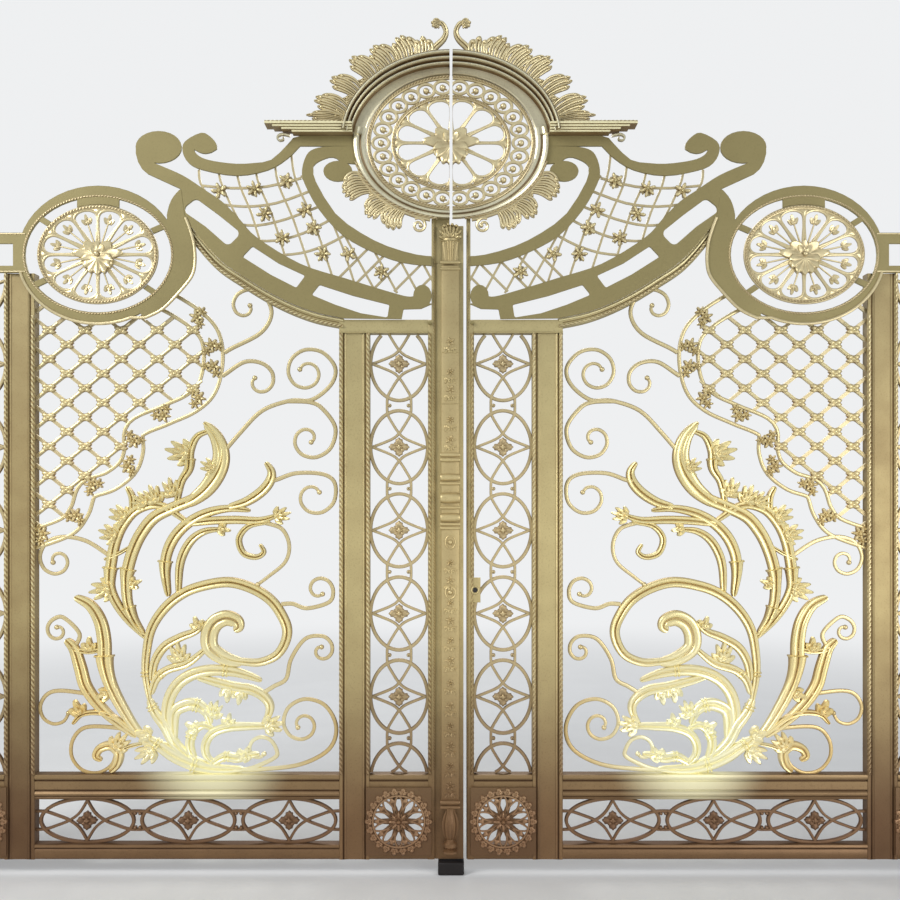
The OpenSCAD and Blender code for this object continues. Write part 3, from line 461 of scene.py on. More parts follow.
def tube(path, wide, deep, section, y=0.0, closed=False, rise=None):
    """Section carried along a path in the leaf's plane. Point (i, j) stands aside of path point i
    by wide*a_j along its normal and in front of y by deep*b_j. A section is rows (a, b, relief)."""
    path = np.asarray(path, float)
    aside = sideways(path, closed)
    s = np.asarray(section, float)
    n = len(path)
    w = np.broadcast_to(np.asarray(wide, float), (n,))[:, None]
    d = np.broadcast_to(np.asarray(deep, float), (n,))[:, None]
    lift = 0.0 if rise is None else np.asarray(rise, float)[:, None]
    flat = path[:, None, :] + aside[:, None, :] * (w * s[None, :, 0])[..., None]
    return loft(stood(flat, y - lift - d * s[None, :, 1]), s[None, :, 2], closed)


def round_section(count=8, flat=1.0):
    """Circle section of width 1 whose front is the light side. Below 1, flat squares it off."""
    a = spaced(count)
    b = np.sign(np.sin(a)) * np.abs(np.sin(a)) ** flat
    return np.column_stack([0.5 * np.cos(a), 0.5 * b, np.clip(0.35 + 0.65 * np.sin(a), 0, 1)])


round_bar = round_section()
flat_round = round_section(8, 0.8)
soft_round = round_section(10, 0.7)


def rope(path, radius, pitch, y, closed=False):
    """Twisted strand: round tube of radius r(1 + 0.22 cos(2a - 2 pi s / pitch)), where a is the
    angle round it and s the length along it."""
    points, along = paced(path, pitch / 4)
    if closed:
        points, along = points[:-1], along[:-1]
    a = spaced(6)
    wave = np.cos(2 * a[None, :] - 2 * np.pi * along[:, None] / pitch)
    r = radius * (1 + 0.22 * wave)
    flat = points[:, None, :] + sideways(points, closed)[:, None, :] * (r * np.cos(a))[..., None]
    return loft(stood(flat, y - r * np.sin(a)), 0.5 + 0.5 * wave, closed)


def hoop(middle, radii, width, deep, section, y=0.0, count=96):
    """Bar bent round a whole oval."""
    return tube(oval(middle, radii, 0, 360, count)[:-1], width, deep, section, y, closed=True)


def rope_hoop(middle, radii, radius, pitch, y, count=160):
    """Twisted strand bent round a whole oval."""
    return rope(oval(middle, radii, 0, 360, count), radius, pitch, y, closed=True)


def grown(radii, by):
    """Both radii of an oval, longer by that much."""
    return radii[0] + by, radii[1] + by


def slab(u0, u1, y0, y1, z0, z1, ease=2.0):
    """Upright block with eased front edges: its outline in (u, z) is drawn in by ease at the
    front and carried from y1 at the back to y0 at the front."""
    corners = np.array([[u0, z0], [u1, z0], [u1, z1], [u0, z1]], float)
    inward = np.array([[1, 1], [-1, 1], [-1, -1], [1, -1]], float)
    levels = [(0, y1), (0, y0 + ease), (ease * 0.3, y0 + ease * 0.3), (ease, y0)]
    return loft(np.stack([stood(corners + inward * e, y) for e, y in levels]), 0.75)


def embossed(outline, middle, levels, y, back, ripple=0.0):
    """Raised ornament. Each ring is the outline drawn towards its middle: point j of a level
    (share, rise) is middle + share*(outline_j - middle), in front of y by
    rise*(1 + ripple_j*share). The plain back lies up to 1 mm in from back, a little differently
    on each casting."""
    outline = np.asarray(outline, float)
    middle = np.asarray(middle, float)
    share = np.array([0.05, 1.0] + [lv[0] for lv in levels])[:, None]
    rise = np.array([0.0, 0.0] + [lv[1] for lv in levels])[:, None]
    wave = np.broadcast_to(ripple, (len(outline),))[None, :]
    flat = middle + share[..., None] * (outline[None] - middle)
    depth = y - rise * (1 + wave * share)
    depth[:2] = back - 0.5 - 0.5 * np.sin(outline[0, 0] + 1.7 * outline[0, 1])
    top = max(np.abs(rise).max(), 1e-6)
    tone = np.clip(rise / top * 0.7 + 0.3 + 0.7 * wave * share, 0, 1)
    return loft(stood(flat, depth), tone)


def piece(name, shapes, side, paint, stands_for=(), cut=False, sharp=0.7):
    """One mesh from shapes in millimetres (distance from the gate's middle, depth, height), put on
    the leaf of that side: X = middle + side*u. The left leaf's faces are turned over."""
    sizes = np.cumsum([0] + [len(s[0]) for s in shapes])
    verts = np.vstack([s[0] for s in shapes]) * 0.001
    verts[:, 0] = GATE_MIDDLE + side * verts[:, 0]
    quads = np.vstack([s[1] + k for s, k in zip(shapes, sizes)])
    tris = np.vstack([s[2] + k for s, k in zip(shapes, sizes)])
    if side == LEFT:
        quads, tris = quads[:, ::-1], tris[:, ::-1]
    mesh = bpy.data.meshes.new(name)
    mesh.vertices.add(len(verts))
    mesh.vertices.foreach_set("co", verts.ravel())
    mesh.loops.add(quads.size + tris.size)
    mesh.loops.foreach_set("vertex_index", np.concatenate([quads.ravel(), tris.ravel()]))
    mesh.polygons.add(len(quads) + len(tris))
    starts = np.concatenate([np.arange(len(quads)) * 4, quads.size + np.arange(len(tris)) * 3])
    mesh.polygons.foreach_set("loop_start", starts)
    mesh.update(calc_edges=True)
    tone = mesh.attributes.new("relief", "FLOAT", "POINT")
    tone.data.foreach_set("value", np.concatenate([s[3] for s in shapes]).astype(np.float32))
    if cut:
        work = bmesh.new()
        work.from_mesh(mesh)
        found = bmesh.ops.bisect_plane(work, geom=work.verts[:] + work.edges[:] + work.faces[:],
            plane_co=(GATE_MIDDLE + side * 0.006, 0, 0), plane_no=(-side, 0, 0), clear_outer=True)
        rim = [g for g in found["geom_cut"] if isinstance(g, bmesh.types.BMEdge)]
        bmesh.ops.holes_fill(work, edges=rim, sides=0)
        work.to_mesh(mesh)
        work.free()
    mesh.shade_smooth()
    mesh.set_sharp_from_angle(angle=sharp)
    mesh.materials.append(paint)
    made = bpy.data.objects.new(name, mesh)
    scene.collection.objects.link(made)
    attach(made, "left_leaf" if side == LEFT else "right_leaf")
    if stands_for:
        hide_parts(*stands_for)
    return made


def pair(name, shapes, paint, node="", cut=False, sharp=0.7):
    """The same shapes as a piece on each leaf. node is the CAD node's name without its side."""
    for side, word in ((LEFT, "left_"), (RIGHT, "right_")):
        piece(word + name, shapes, side, paint, (word + node,) if node else (), cut, sharp)


def stile_section(width):
    """Ribbed front and plain back, as shares of the width and of DEPTH."""
    half = [(0.5, -0.5, 0.4), (0.5, 0.46, 0.7), (0.5 - 2 / width, 0.5, 1),
        (0.5 - 13 / width, 0.5, 1), (0.5 - 15 / width, 0.46, 0.8), (0.5 - 16 / width, 0.38, 0.0),
        (0.5 - 19 / width, 0.38, 0.0), (0.5 - 21 / width, 0.44, 0.7), (0.5 - 26 / width, 0.46, 0.9),
        (0.5 - 29 / width, 0.42, 0.45), (0.5 - 32 / width, 0.42, 0.8)]
    return mirrored(half)


def stile(u0, u1, z0, z1, painted_light_share=1.0):
    """Stile section carried straight up in 12 rings. Its relief is scaled by the last argument,
    which below 1 paints the stile darker as painted shade.
    """
    line = np.column_stack([np.full(12, (u0 + u1) / 2), np.linspace(z0, z1, 12)])
    made = tube(line, u1 - u0, DEPTH, stile_section(u1 - u0))
    return (*made[:3], made[3] * painted_light_share)


# This paint carries a painted pool of floodlight glow low on each leaf.
frame_paint = gold_paint("frame_paint", (0.65, 0.54, 0.26), (0.20, 0.12, 0.045), 0.5, 0.42,
    reach=0.36)
trim_paint = gold_paint("trim_paint", (0.92, 0.80, 0.44), (0.24, 0.14, 0.05), 0.55, 0.36)
arm_top = ARM_Z[0] - 0.3
# The hinge stile and the stile beside the outer panel get about half their relief: painted shade.
stile_shapes = [stile(OUTER[1], LEAF_W, GROUND_GAP, arm_top, 0.5),
    stile(MAIN[1], OUTER[0], GROUND_GAP, arm_top, 0.52),
    stile(INNER[1], MAIN[0], GROUND_GAP, SPRING_Z)]
edge_ropes = []
for u, top in ((INNER[1] + ROPE_IN, SPRING_Z), (MAIN[0] - ROPE_IN, SPRING_Z),
        (MAIN[1] + ROPE_IN, 2240), (OUTER[0] - ROPE_IN, arm_top), (OUTER[1] + ROPE_IN, arm_top)):
    edge_ropes.append(rope([[u, PANEL_Z], [u, top]], ROPE_R, ROPE_PITCH, ROPE_Y))
pair("stile_set", stile_shapes, frame_paint, "stiles")
pair("edge_ropes", edge_ropes, trim_paint)


# ---- Meeting stiles
# The left one is wide and carries the cover column in a shallow recess; the right one is narrow.
# Above the level rail both draw in to the necks that carry the medallion.
NECK = 78.0
WIDE_TOP = 2450.0
NECK_TOP = 2646.0
SPRING_TOP = 2222.0
BAR_EDGE = 66.0
LAPPED = BAR_EDGE + 0.5
FAR_EDGE = -50.0
RECESS_Y = FRONT + 8


def upright_block(u0, u1, y0, z0, z1):
    """One upright bar of the stile, from y0 to the back."""
    return slab(u0, u1, y0, BACK, z0, z1, 1.5)


edge_bars = [upright_block(BAR_EDGE, INNER[0], FRONT, GROUND_GAP, SPRING_TOP),
    upright_block(BAR_EDGE, NECK, FRONT, SPRING_TOP, NECK_TOP)]
inner_rope = INNER[0] - ROPE_IN
edge_trim = [rope([[inner_rope, PANEL_Z], [inner_rope, SPRING_Z]], ROPE_R, ROPE_PITCH, ROPE_Y),
    rope([[68, 420], [68, 2600]], 2.5, 12.0, FRONT - 0.5)]
left_shapes = edge_bars + [upright_block(FAR_EDGE, LAPPED, RECESS_Y, GROUND_GAP, WIDE_TOP),
    upright_block(6, LAPPED, RECESS_Y - 0.5, WIDE_TOP, NECK_TOP),
    upright_block(FAR_EDGE, 6.5, RECESS_Y + 0.5, WIDE_TOP, WIDE_TOP + 150)] + edge_trim
right_shapes = edge_bars + [upright_block(62, LAPPED, RECESS_Y, GROUND_GAP, WIDE_TOP),
    upright_block(62, LAPPED, FRONT, WIDE_TOP, NECK_TOP)] + edge_trim
piece("left_meeting_bars", left_shapes, LEFT, frame_paint, ("left_meeting_stile",))
piece("right_meeting_bars", right_shapes, RIGHT, frame_paint,
    ("right_meeting_stile",))


# ---- Rails
# Moulded bottom and middle rails between the stiles, the level rail over the inner panels, and
# the curved rail that follows the crest, with a twisted rope and a round bead welded along it.
SIDE_MIDDLE = (1410.0, 2480.0)
sweep_low = [(1068, 2595), (1026, 2548), (934, 2444), (830, 2372), (732, 2312), (634, 2264),
    (538, 2230), (432, 2208), (270, 2186), (92, 2186)]


def moulding(rows):
    """Rail section with a back, from rows (share of height from the top, share of depth,
    relief)."""
    return [(0.5 - a, b, r) for a, b, r in rows] + [(-0.5, -0.5, 0.4), (0.5, -0.5, 0.4)]


MID_RAIL = (350.0, 100.0)
LOW_RAIL = (90.0, 60.0)
LEVEL_RAIL = (2195.0, 54.0)
CURVED_RAIL_HEIGHT = 36.0
mid_rail_rows = [(0.0, 0.40, 0.3), (0.02, 0.50, 0.9), (0.12, 0.56, 1.0), (0.20, 0.50, 0.6),
    (0.22, 0.38, 0.0), (0.26, 0.38, 0.0), (0.29, 0.46, 0.9), (0.60, 0.46, 0.9), (0.63, 0.36, 0.0),
    (0.66, 0.36, 0.1), (0.70, 0.48, 0.8), (0.78, 0.54, 1.0), (0.86, 0.48, 0.6), (0.88, 0.38, 0.0),
    (0.92, 0.44, 0.6), (1.0, 0.40, 0.4)]
low_rail_rows = [(0.0, 0.40, 0.3), (0.04, 0.50, 0.9), (0.18, 0.54, 1.0), (0.26, 0.46, 0.3),
    (0.30, 0.40, 0.0), (0.36, 0.46, 0.8), (0.9, 0.46, 0.8), (1.0, 0.38, 0.4)]
rail_shapes = []
for u0, u1 in (INNER, MAIN, OUTER):
    for (z, height), rows in ((MID_RAIL, mid_rail_rows), (LOW_RAIL, low_rail_rows)):
        line = np.column_stack([np.linspace(u1, u0, 6), np.full(6, z)])
        rail_shapes.append(tube(line, -height, DEPTH, moulding(rows)))
curved = flow(sweep_low[:-2], 8)
level = np.array([[MAIN[0], LEVEL_RAIL[0]], [INNER[0], LEVEL_RAIL[0]]])
rail_bar = [(0.5, -0.5, 0.4), (0.5, 0.5, 0.8), (0.1, 0.5, 0.9), (0.0, 0.44, 0.1), (-0.1, 0.5, 0.9),
    (-0.44, 0.5, 1.0), (-0.5, 0.44, 0.8), (-0.5, -0.5, 0.4)]
rail_shapes += [tube(curved[::-1], CURVED_RAIL_HEIGHT, DEPTH, rail_bar),
    tube(level[::-1], LEVEL_RAIL[1], DEPTH - 0.8, rail_bar[:2] + rail_bar[5:]),
    tube(level - [0, 23], 8.0, 8.0, round_bar, ROPE_Y)]
pair("rail_set", rail_shapes, frame_paint, "rails")
curve_trim = [rope(curved - [0, 12], 5.5, 18.0, ROPE_Y),
    tube(curved + [0, 11], 9.0, 9.0, round_bar, ROPE_Y)]
pair("curve_trim", curve_trim, trim_paint)


# ---- Oval panels
# Bent flat bar: upright ovals linked in a chain, with four bars in each that swing round a
# square cast rosette and cross above and below it, and small cast beads on the links. Three
# lying ovals fill the low panel in the same way.
OVAL_BAR = 14.0
OVAL_DEEP = 14.0
OVAL_HALF = (115.0, 147.0)
OVAL_PITCH = 335.0
OVAL_TOP = SPRING_Z - 120
LOW_MIDDLE = 210.0
LOW_OPENING = (119, 301)
bar_section = [(0.5, -0.5, 0.2), (0.5, 0.25, 0.35), (0.36, 0.46, 0.8), (0.0, 0.5, 1.0),
    (-0.36, 0.46, 0.8), (-0.5, 0.25, 0.35), (-0.5, -0.5, 0.2)]


def petalled(middle, radius, petals, depth=0.3, turn=0.0, count=6):
    """Outline of a flower of n round petals: R(a) = r(1 - depth + depth|cos(n a / 2)|^0.6)."""
    a = spaced(petals * count)
    lobe = np.abs(np.cos(petals * a / 2)) ** 0.6
    return polar(middle, radius * (1 - depth + depth * lobe), a + turn)


def blossom(middle, radius, petals, y, rise, back, turn=0.0, cut=0.5):
    """Flower of n slender petals, R(a) = r(1 - cut sin(n a / 2)^2), which lies lower between the
    petals, round a domed heart."""
    a = spaced(petals * 8)
    between = np.sin(petals * a / 2) ** 2
    outline = polar(middle, radius * (1 - cut * between), a + turn)
    levels = [(1.0, rise * 0.45), (0.9, rise * 0.85), (0.66, rise), (0.42, rise * 0.7),
        (0.3, rise * 0.5), (0.26, rise * 1.0), (0.16, rise * 1.3), (0.05, rise * 1.4)]
    return embossed(outline, middle, levels, y, back, -0.6 * between)


def bead(middle, radius, y, back, count=8):
    """Half-round bead: rings at share cos t with rise r sin t."""
    levels = [(np.cos(t), radius * np.sin(t)) for t in np.radians([0, 28, 52, 74])]
    return embossed(polar(middle, radius, spaced(count)), middle, levels, y, back)


def leafy_square(middle, half, y, back):
    """Square rosette of four corner leaves and four side leaves round a button."""
    a = spaced(64)
    r = half * (0.86 + 0.5 * np.abs(np.cos(2 * a)) ** 1.6 + 0.08 * np.cos(16 * a))
    outline = np.asarray(middle) + [1.1, 1] * polar((0, 0), r, a)
    levels = [(1.0, 2.5), (0.93, 5.5), (0.7, 8.0), (0.5, 5.5), (0.36, 4.0), (0.32, 7.0),
        (0.2, 10.0), (0.06, 11.0)]
    return embossed(outline, middle, levels, y, back, 0.25 * np.cos(8 * a) - 0.25)


def in_box(points, u0, u1, z0, z1):
    """Whether each point lies in the box."""
    p = np.atleast_2d(points)
    return (p[:, 0] > u0) & (p[:, 0] < u1) & (p[:, 1] > z0) & (p[:, 1] < z1)


def clipped(path, box):
    """The run of a path that lies inside a box, or nothing."""
    inside = in_box(path, *box)
    if inside.sum() < 3:
        return []
    return [path[np.argmax(inside):len(inside) - np.argmax(inside[::-1])]]


def oval_link(middle, half, upright, box):
    """One oval, its four swung bars, rosette and link beads, kept inside the opening box."""
    cross, run = half if upright else (half[1], half[0])
    swing = flow([(cross - OVAL_BAR / 2, 0), (31, 31), (0, run * 0.38), (-cross * 0.24, run * 0.66),
        (-cross * 0.4, run * 0.9), (-cross * 0.42, run * 1.16)], 6)
    corners = [(i, j) for i in (-1, 1) for j in (-1, 1)]
    made = []

    def turned(points, i, j):
        p = np.asarray(points) * [i, j]
        return np.asarray(middle) + (p if upright else p[:, ::-1])

    if in_box(oval(middle, half, 0, 360, 56), *box).all():
        made.append(hoop(middle, half, OVAL_BAR, OVAL_DEEP, bar_section, count=56))
    else:
        start = 90 if upright else 0
        for a in (start, start + 180):
            made += [tube(part, OVAL_BAR, OVAL_DEEP, bar_section)
                for part in clipped(oval(middle, half, a, a + 180, 28), box)]
    for i, j in corners:
        made += [tube(part, OVAL_BAR * 0.78, OVAL_DEEP - 1, bar_section, 0.6 * i * j)
            for part in clipped(turned(swing, i, j), box)]
    if in_box(middle, *box).all():
        made.append(leafy_square(middle, 27, -6, 6))
    for i, j in corners:
        spot = turned([(0.33 * cross, 1.14 * run)], i, j)[0]
        if in_box(spot, *box).all():
            made.append(bead(spot, 8.0, -4, 6))
    return made


panel_paint = gold_paint("panel_paint", (0.62, 0.50, 0.27), (0.24, 0.15, 0.07), 0.5, 0.42)
panel_shapes = []
for (u0, u1), top in ((INNER, SPRING_Z), (OUTER, ARM_Z[0] - 20)):
    for k in range(-1, 6):
        panel_shapes += oval_link(((u0 + u1) / 2, OVAL_TOP - k * OVAL_PITCH), OVAL_HALF, True,
            (u0 - 1, u1 + 1, PANEL_Z - 1, top + 1))
pair("oval_set", panel_shapes, panel_paint, "oval_panels")
low_shapes = []
third = (MAIN[1] - MAIN[0]) / 3
for k in range(-1, 2):
    low_shapes += oval_link(((MAIN[0] + MAIN[1]) / 2 + k * third, LOW_MIDDLE), (third * 0.46, 88.0),
        False, (MAIN[0] - 1, MAIN[1] + 1, *LOW_OPENING))
pair("low_oval_set", low_shapes, panel_paint, "low_panel")


# ---- Corner plates
# Square cast plates under the narrow panels, with a round pierced rosette: a flower in the
# middle, ten loops round it, then a ring of small leaves, a bar, more leaves and a twisted rope.
def ring_of(middle, radius, count, make, turn=0.0):
    """make(point, angle) at count places round a circle."""
    angles = spaced(count) + turn
    return [make(p, a) for p, a in zip(polar(middle, radius, angles), angles)]


def leaf_ring(middle, radius, count, size, levels, y, back):
    """Small three-lobed leaves round a circle, each turned outwards."""

    def leaf(p, a):
        return embossed(petalled(p, size, 3, 0.4, a), p, levels, y, back)

    return ring_of(middle, radius, count, leaf)


corner_plate_paint = gold_paint("corner_plate_paint", (0.50, 0.40, 0.20), (0.24, 0.15, 0.06), 0.5,
    0.44, relief=0.7)
crisp_pair("corner_plates", "corner_rosettes", 0.0015, corner_plate_paint)
ROSETTE_Z = 215.0
ROSETTE_Y = FRONT - 10
rosette_loop = oval((0, 0), (40, 15), 0, 360, 24)[:-1]
rosette_shapes = []
for u0, u1 in (INNER, OUTER):
    heart = ((u0 + u1) / 2, ROSETTE_Z)
    rosette_shapes += [rope_hoop(heart, (120, 120), 4.0, 14.0, ROSETTE_Y - 1, 96),
        hoop(heart, (103, 103), 8.0, 6.0, round_bar, ROSETTE_Y - 2, 72)]
    rosette_shapes += leaf_ring(heart, 119, 22, 17, [(1, 1), (0.8, 5), (0.45, 6), (0.3, 4),
        (0.15, 7)], ROSETTE_Y, ROSETTE_Y + 7)
    rosette_shapes += leaf_ring(heart, 86, 10, 13, [(1, 1), (0.8, 4), (0.4, 5), (0.1, 6)],
        ROSETTE_Y + 2, ROSETTE_Y + 7)
    rosette_shapes += ring_of(heart, 62, 10, lambda p, a: tube(p + spun(rosette_loop, a), 8.0, 7.0,
        round_section(6), ROSETTE_Y, closed=True), np.pi / 10)
    rosette_shapes.append(blossom(heart, 42, 8, ROSETTE_Y, 12, ROSETTE_Y + 6))
rosette_paint = gold_paint("rosette_paint", (0.98, 0.82, 0.46), (0.26, 0.15, 0.06), 0.5, 0.36)
pair("corner_flowers", rosette_shapes, rosette_paint)


# ---- Lattice and ribbon
# Thin flat bars riveted crosswise with a small four-lobed cast knot on each crossing, held by a
# wavy ribbon of two smooth round-edged bars that carries clusters of cast flowers.
def at(points):
    """Main panel drawing: from the panel's lower outer corner, inwards and up."""
    p = np.asarray(points, float)
    return np.stack([MAIN[1] - p[..., 0], PANEL_Z + p[..., 1]], -1)


def within(points, outline):
    """Whether each point lies inside a closed outline: it counts the sides it sees to its right."""
    p = np.asarray(points, float)[:, None, :]
    a = np.asarray(outline, float)[None]
    b = np.roll(a, -1, 1)
    spans = (a[..., 1] > p[..., 1]) != (b[..., 1] > p[..., 1])
    fall = np.where(b[..., 1] == a[..., 1], 1e-9, b[..., 1] - a[..., 1])
    where = a[..., 0] + (p[..., 1] - a[..., 1]) * (b[..., 0] - a[..., 0]) / fall
    return (spans & (p[..., 0] < where)).sum(1) % 2 == 1


def beside(path, offset):
    """The path moved sideways by offset along its normals."""
    return path + offset * sideways(path)


RIBBON_HALF = 38.0
ribbon_line = flow(at([(480, 1920), (560, 1880), (643, 1824), (697, 1760), (711, 1664), (686, 1554),
    (622, 1490), (518, 1442), (399, 1386), (390, 1296), (364, 1230), (296, 1176), (206, 1140),
    (172, 1056), (118, 992), (-24, 940)]), 6)
# The scrolls carry the painted floodlight glow too.
scroll_paint = gold_paint("scroll_paint", (0.78, 0.65, 0.34), (0.26, 0.16, 0.07), 0.55, 0.36,
    reach=0.5, low=(0.85, 0.70, 0.50))
lattice_paint = gold_paint("lattice_paint", (0.76, 0.64, 0.36), (0.26, 0.16, 0.07), 0.5, 0.4,
    relief=0.75)
flower_paint = gold_paint("flower_paint", (0.95, 0.82, 0.45), (0.34, 0.21, 0.08), 0.5, 0.36)
crisp_pair("lattice_bars", "lattice", 0.0025, lattice_paint)
KNOT_STEP = (72.5, 117.0)
KNOT_CLEAR = (322, 278)
KNOT_LIMITS = (1664, 2240)
columns, rows = np.meshgrid(np.arange(-10, 4), np.arange(-8, 9), indexing="ij")
knot_grid = np.stack([columns, rows + (columns % 2) * 0.5], -1).reshape(-1, 2)
knots = at([(50, 1784)])[0] + KNOT_STEP * knot_grid
field = np.vstack([beside(ribbon_line, RIBBON_HALF), at([(-10, 940), (-10, 2100), (480, 2100)])])
clear_of_ring = (((knots - SIDE_MIDDLE) / KNOT_CLEAR) ** 2).sum(1) > 1.02
knots = knots[within(knots, field) & clear_of_ring & (knots < KNOT_LIMITS).all(1)]
knot_levels = [(1, 2), (0.86, 6), (0.5, 7), (0.36, 5), (0.3, 8), (0.1, 10)]
knot_ripple = np.tile([0.0, -0.25, -0.5, -0.25], 4)
knot_bar = np.outer((-1, 1), (36.2, -29.2))
knot_shapes = []
for spot in knots:
    outline = spot + [1.3, 0.85] * (petalled(spot, 24.0, 4, 0.36, np.pi / 4, 4) - spot)
    knot_shapes.append(embossed(outline, spot, knot_levels, -9, 7, knot_ripple))
    knot_shapes.append(tube(spot + knot_bar, 11.0, 12.0, flat_round, -5))
pair("lattice_knots", knot_shapes, flower_paint)
ribbon_shapes = [tube(beside(ribbon_line, offset), 16.0, 15.0, soft_round)
    for offset in (-RIBBON_HALF, RIBBON_HALF)]
flower_spots = at([(648, 1836), (704, 1720), (708, 1636), (648, 1512), (508, 1444), (392, 1340),
    (368, 1236), (224, 1160), (156, 1036), (20, 964)])
flower_shapes = []
for k, spot in enumerate(flower_spots):
    for turn, out, size in ((0.3, 4, 31), (2.2, 27, 23), (4.4, 27, 22)):
        heart = spot + spun((out, 0), turn + k)
        flower_shapes.append(blossom(heart, size, 6, -5, 12, 6, turn + k))
pair("ribbon_bars", ribbon_shapes, scroll_paint, "ribbon")
pair("ribbon_flowers", flower_shapes, flower_paint)


# ---- Scrolls
# Round-edged bar, drawn thinner along its length and wound into spirals that end in a small
# bead. Each scroll grows out of the ribbon or of an acanthus member.
SCROLL_W = 18.0
SCROLL_T = 15.0
scroll_list = [
    ([(700, 1650), (772, 1704), (900, 1772), (945, 1850)], (840, 1876), 1.1, 20),
    ([(690, 1560), (760, 1608), (836, 1656), (904, 1652)], (896, 1576), -0.85, 24),
    ([(742, 1280), (820, 1372), (908, 1460), (1020, 1500), (1108, 1504), (1184, 1564),
        (1202, 1632)], (1088, 1612), 1.4, 32),
    ([(1010, 1498), (1100, 1494), (1150, 1468), (1202, 1392)], (1092, 1348), -1.2, 20),
    ([(926, 1180), (960, 1180), (1044, 1208), (1152, 1204), (1200, 1168)], (1112, 1116), -1.0, 30),
    ([(910, 1010), (985, 985), (1016, 920), (1000, 850), (930, 790), (890, 760)],
        (880, 750), 0, 30),
    ([(310, 860), (272, 890), (196, 936), (108, 952)], (84, 856), 1.35, 20),
    ([(146, 500), (172, 560), (108, 626)], (84, 572), 1.1, 16),
    ([(215, 318), (100, 332)], (80, 255), 0.75, 50),
    ([(388, 168), (308, 184), (196, 184)], (232, 92), 0.7, 88),
    ([(985, 680), (1030, 682), (1088, 664), (1176, 688)], (1136, 740), 1.0, 24),
    ([(915, 325), (955, 350), (1004, 380), (1024, 460), (1080, 540), (1148, 552)],
        (1146, 492), -1.0, 16),
    ([(790, 16), (908, 16), (1064, 36), (1176, 96), (1206, 184)], (1072, 196), 1.6, 24),
    ([(850, 16), (888, 28), (960, 64), (966, 92)], (896, 92), 0.9, 24)]


def wound(lead, middle, turns, last):
    """Lead points, then a spiral round the middle: radius r0 (last/r0)^t and angle
    a0 + 360 turns t, t from 0 to 1."""
    if turns == 0:
        return lead
    arm = np.subtract(lead[-1], middle)
    count = int(np.ceil(abs(turns) * 8))
    t = (np.arange(count) + 1) / count
    r = np.hypot(*arm) * (last / np.hypot(*arm)) ** t
    return np.vstack([lead, polar(middle, r, np.arctan2(arm[1], arm[0]) + 2 * np.pi * turns * t)])


scroll_shapes = []
for lead, middle, turns, last in scroll_list:
    path = flow(at(wound(lead, middle, turns, last)), 6)
    clear = np.linalg.norm(path[:, None] - ribbon_line[None], axis=2).min(1) > RIBBON_HALF - 2
    path = path[np.argmax(clear):]
    share = np.linspace(0, 1, len(path))
    scroll_shapes.append(tube(path, SCROLL_W * (1 - 0.28 * share), SCROLL_T * (1 - 0.2 * share),
        flat_round))
    scroll_shapes += [bead(path[-1], 10.5, y, 0) for y in (-2, 2)]
pair("scroll_set", scroll_shapes, scroll_paint, "scrolls")


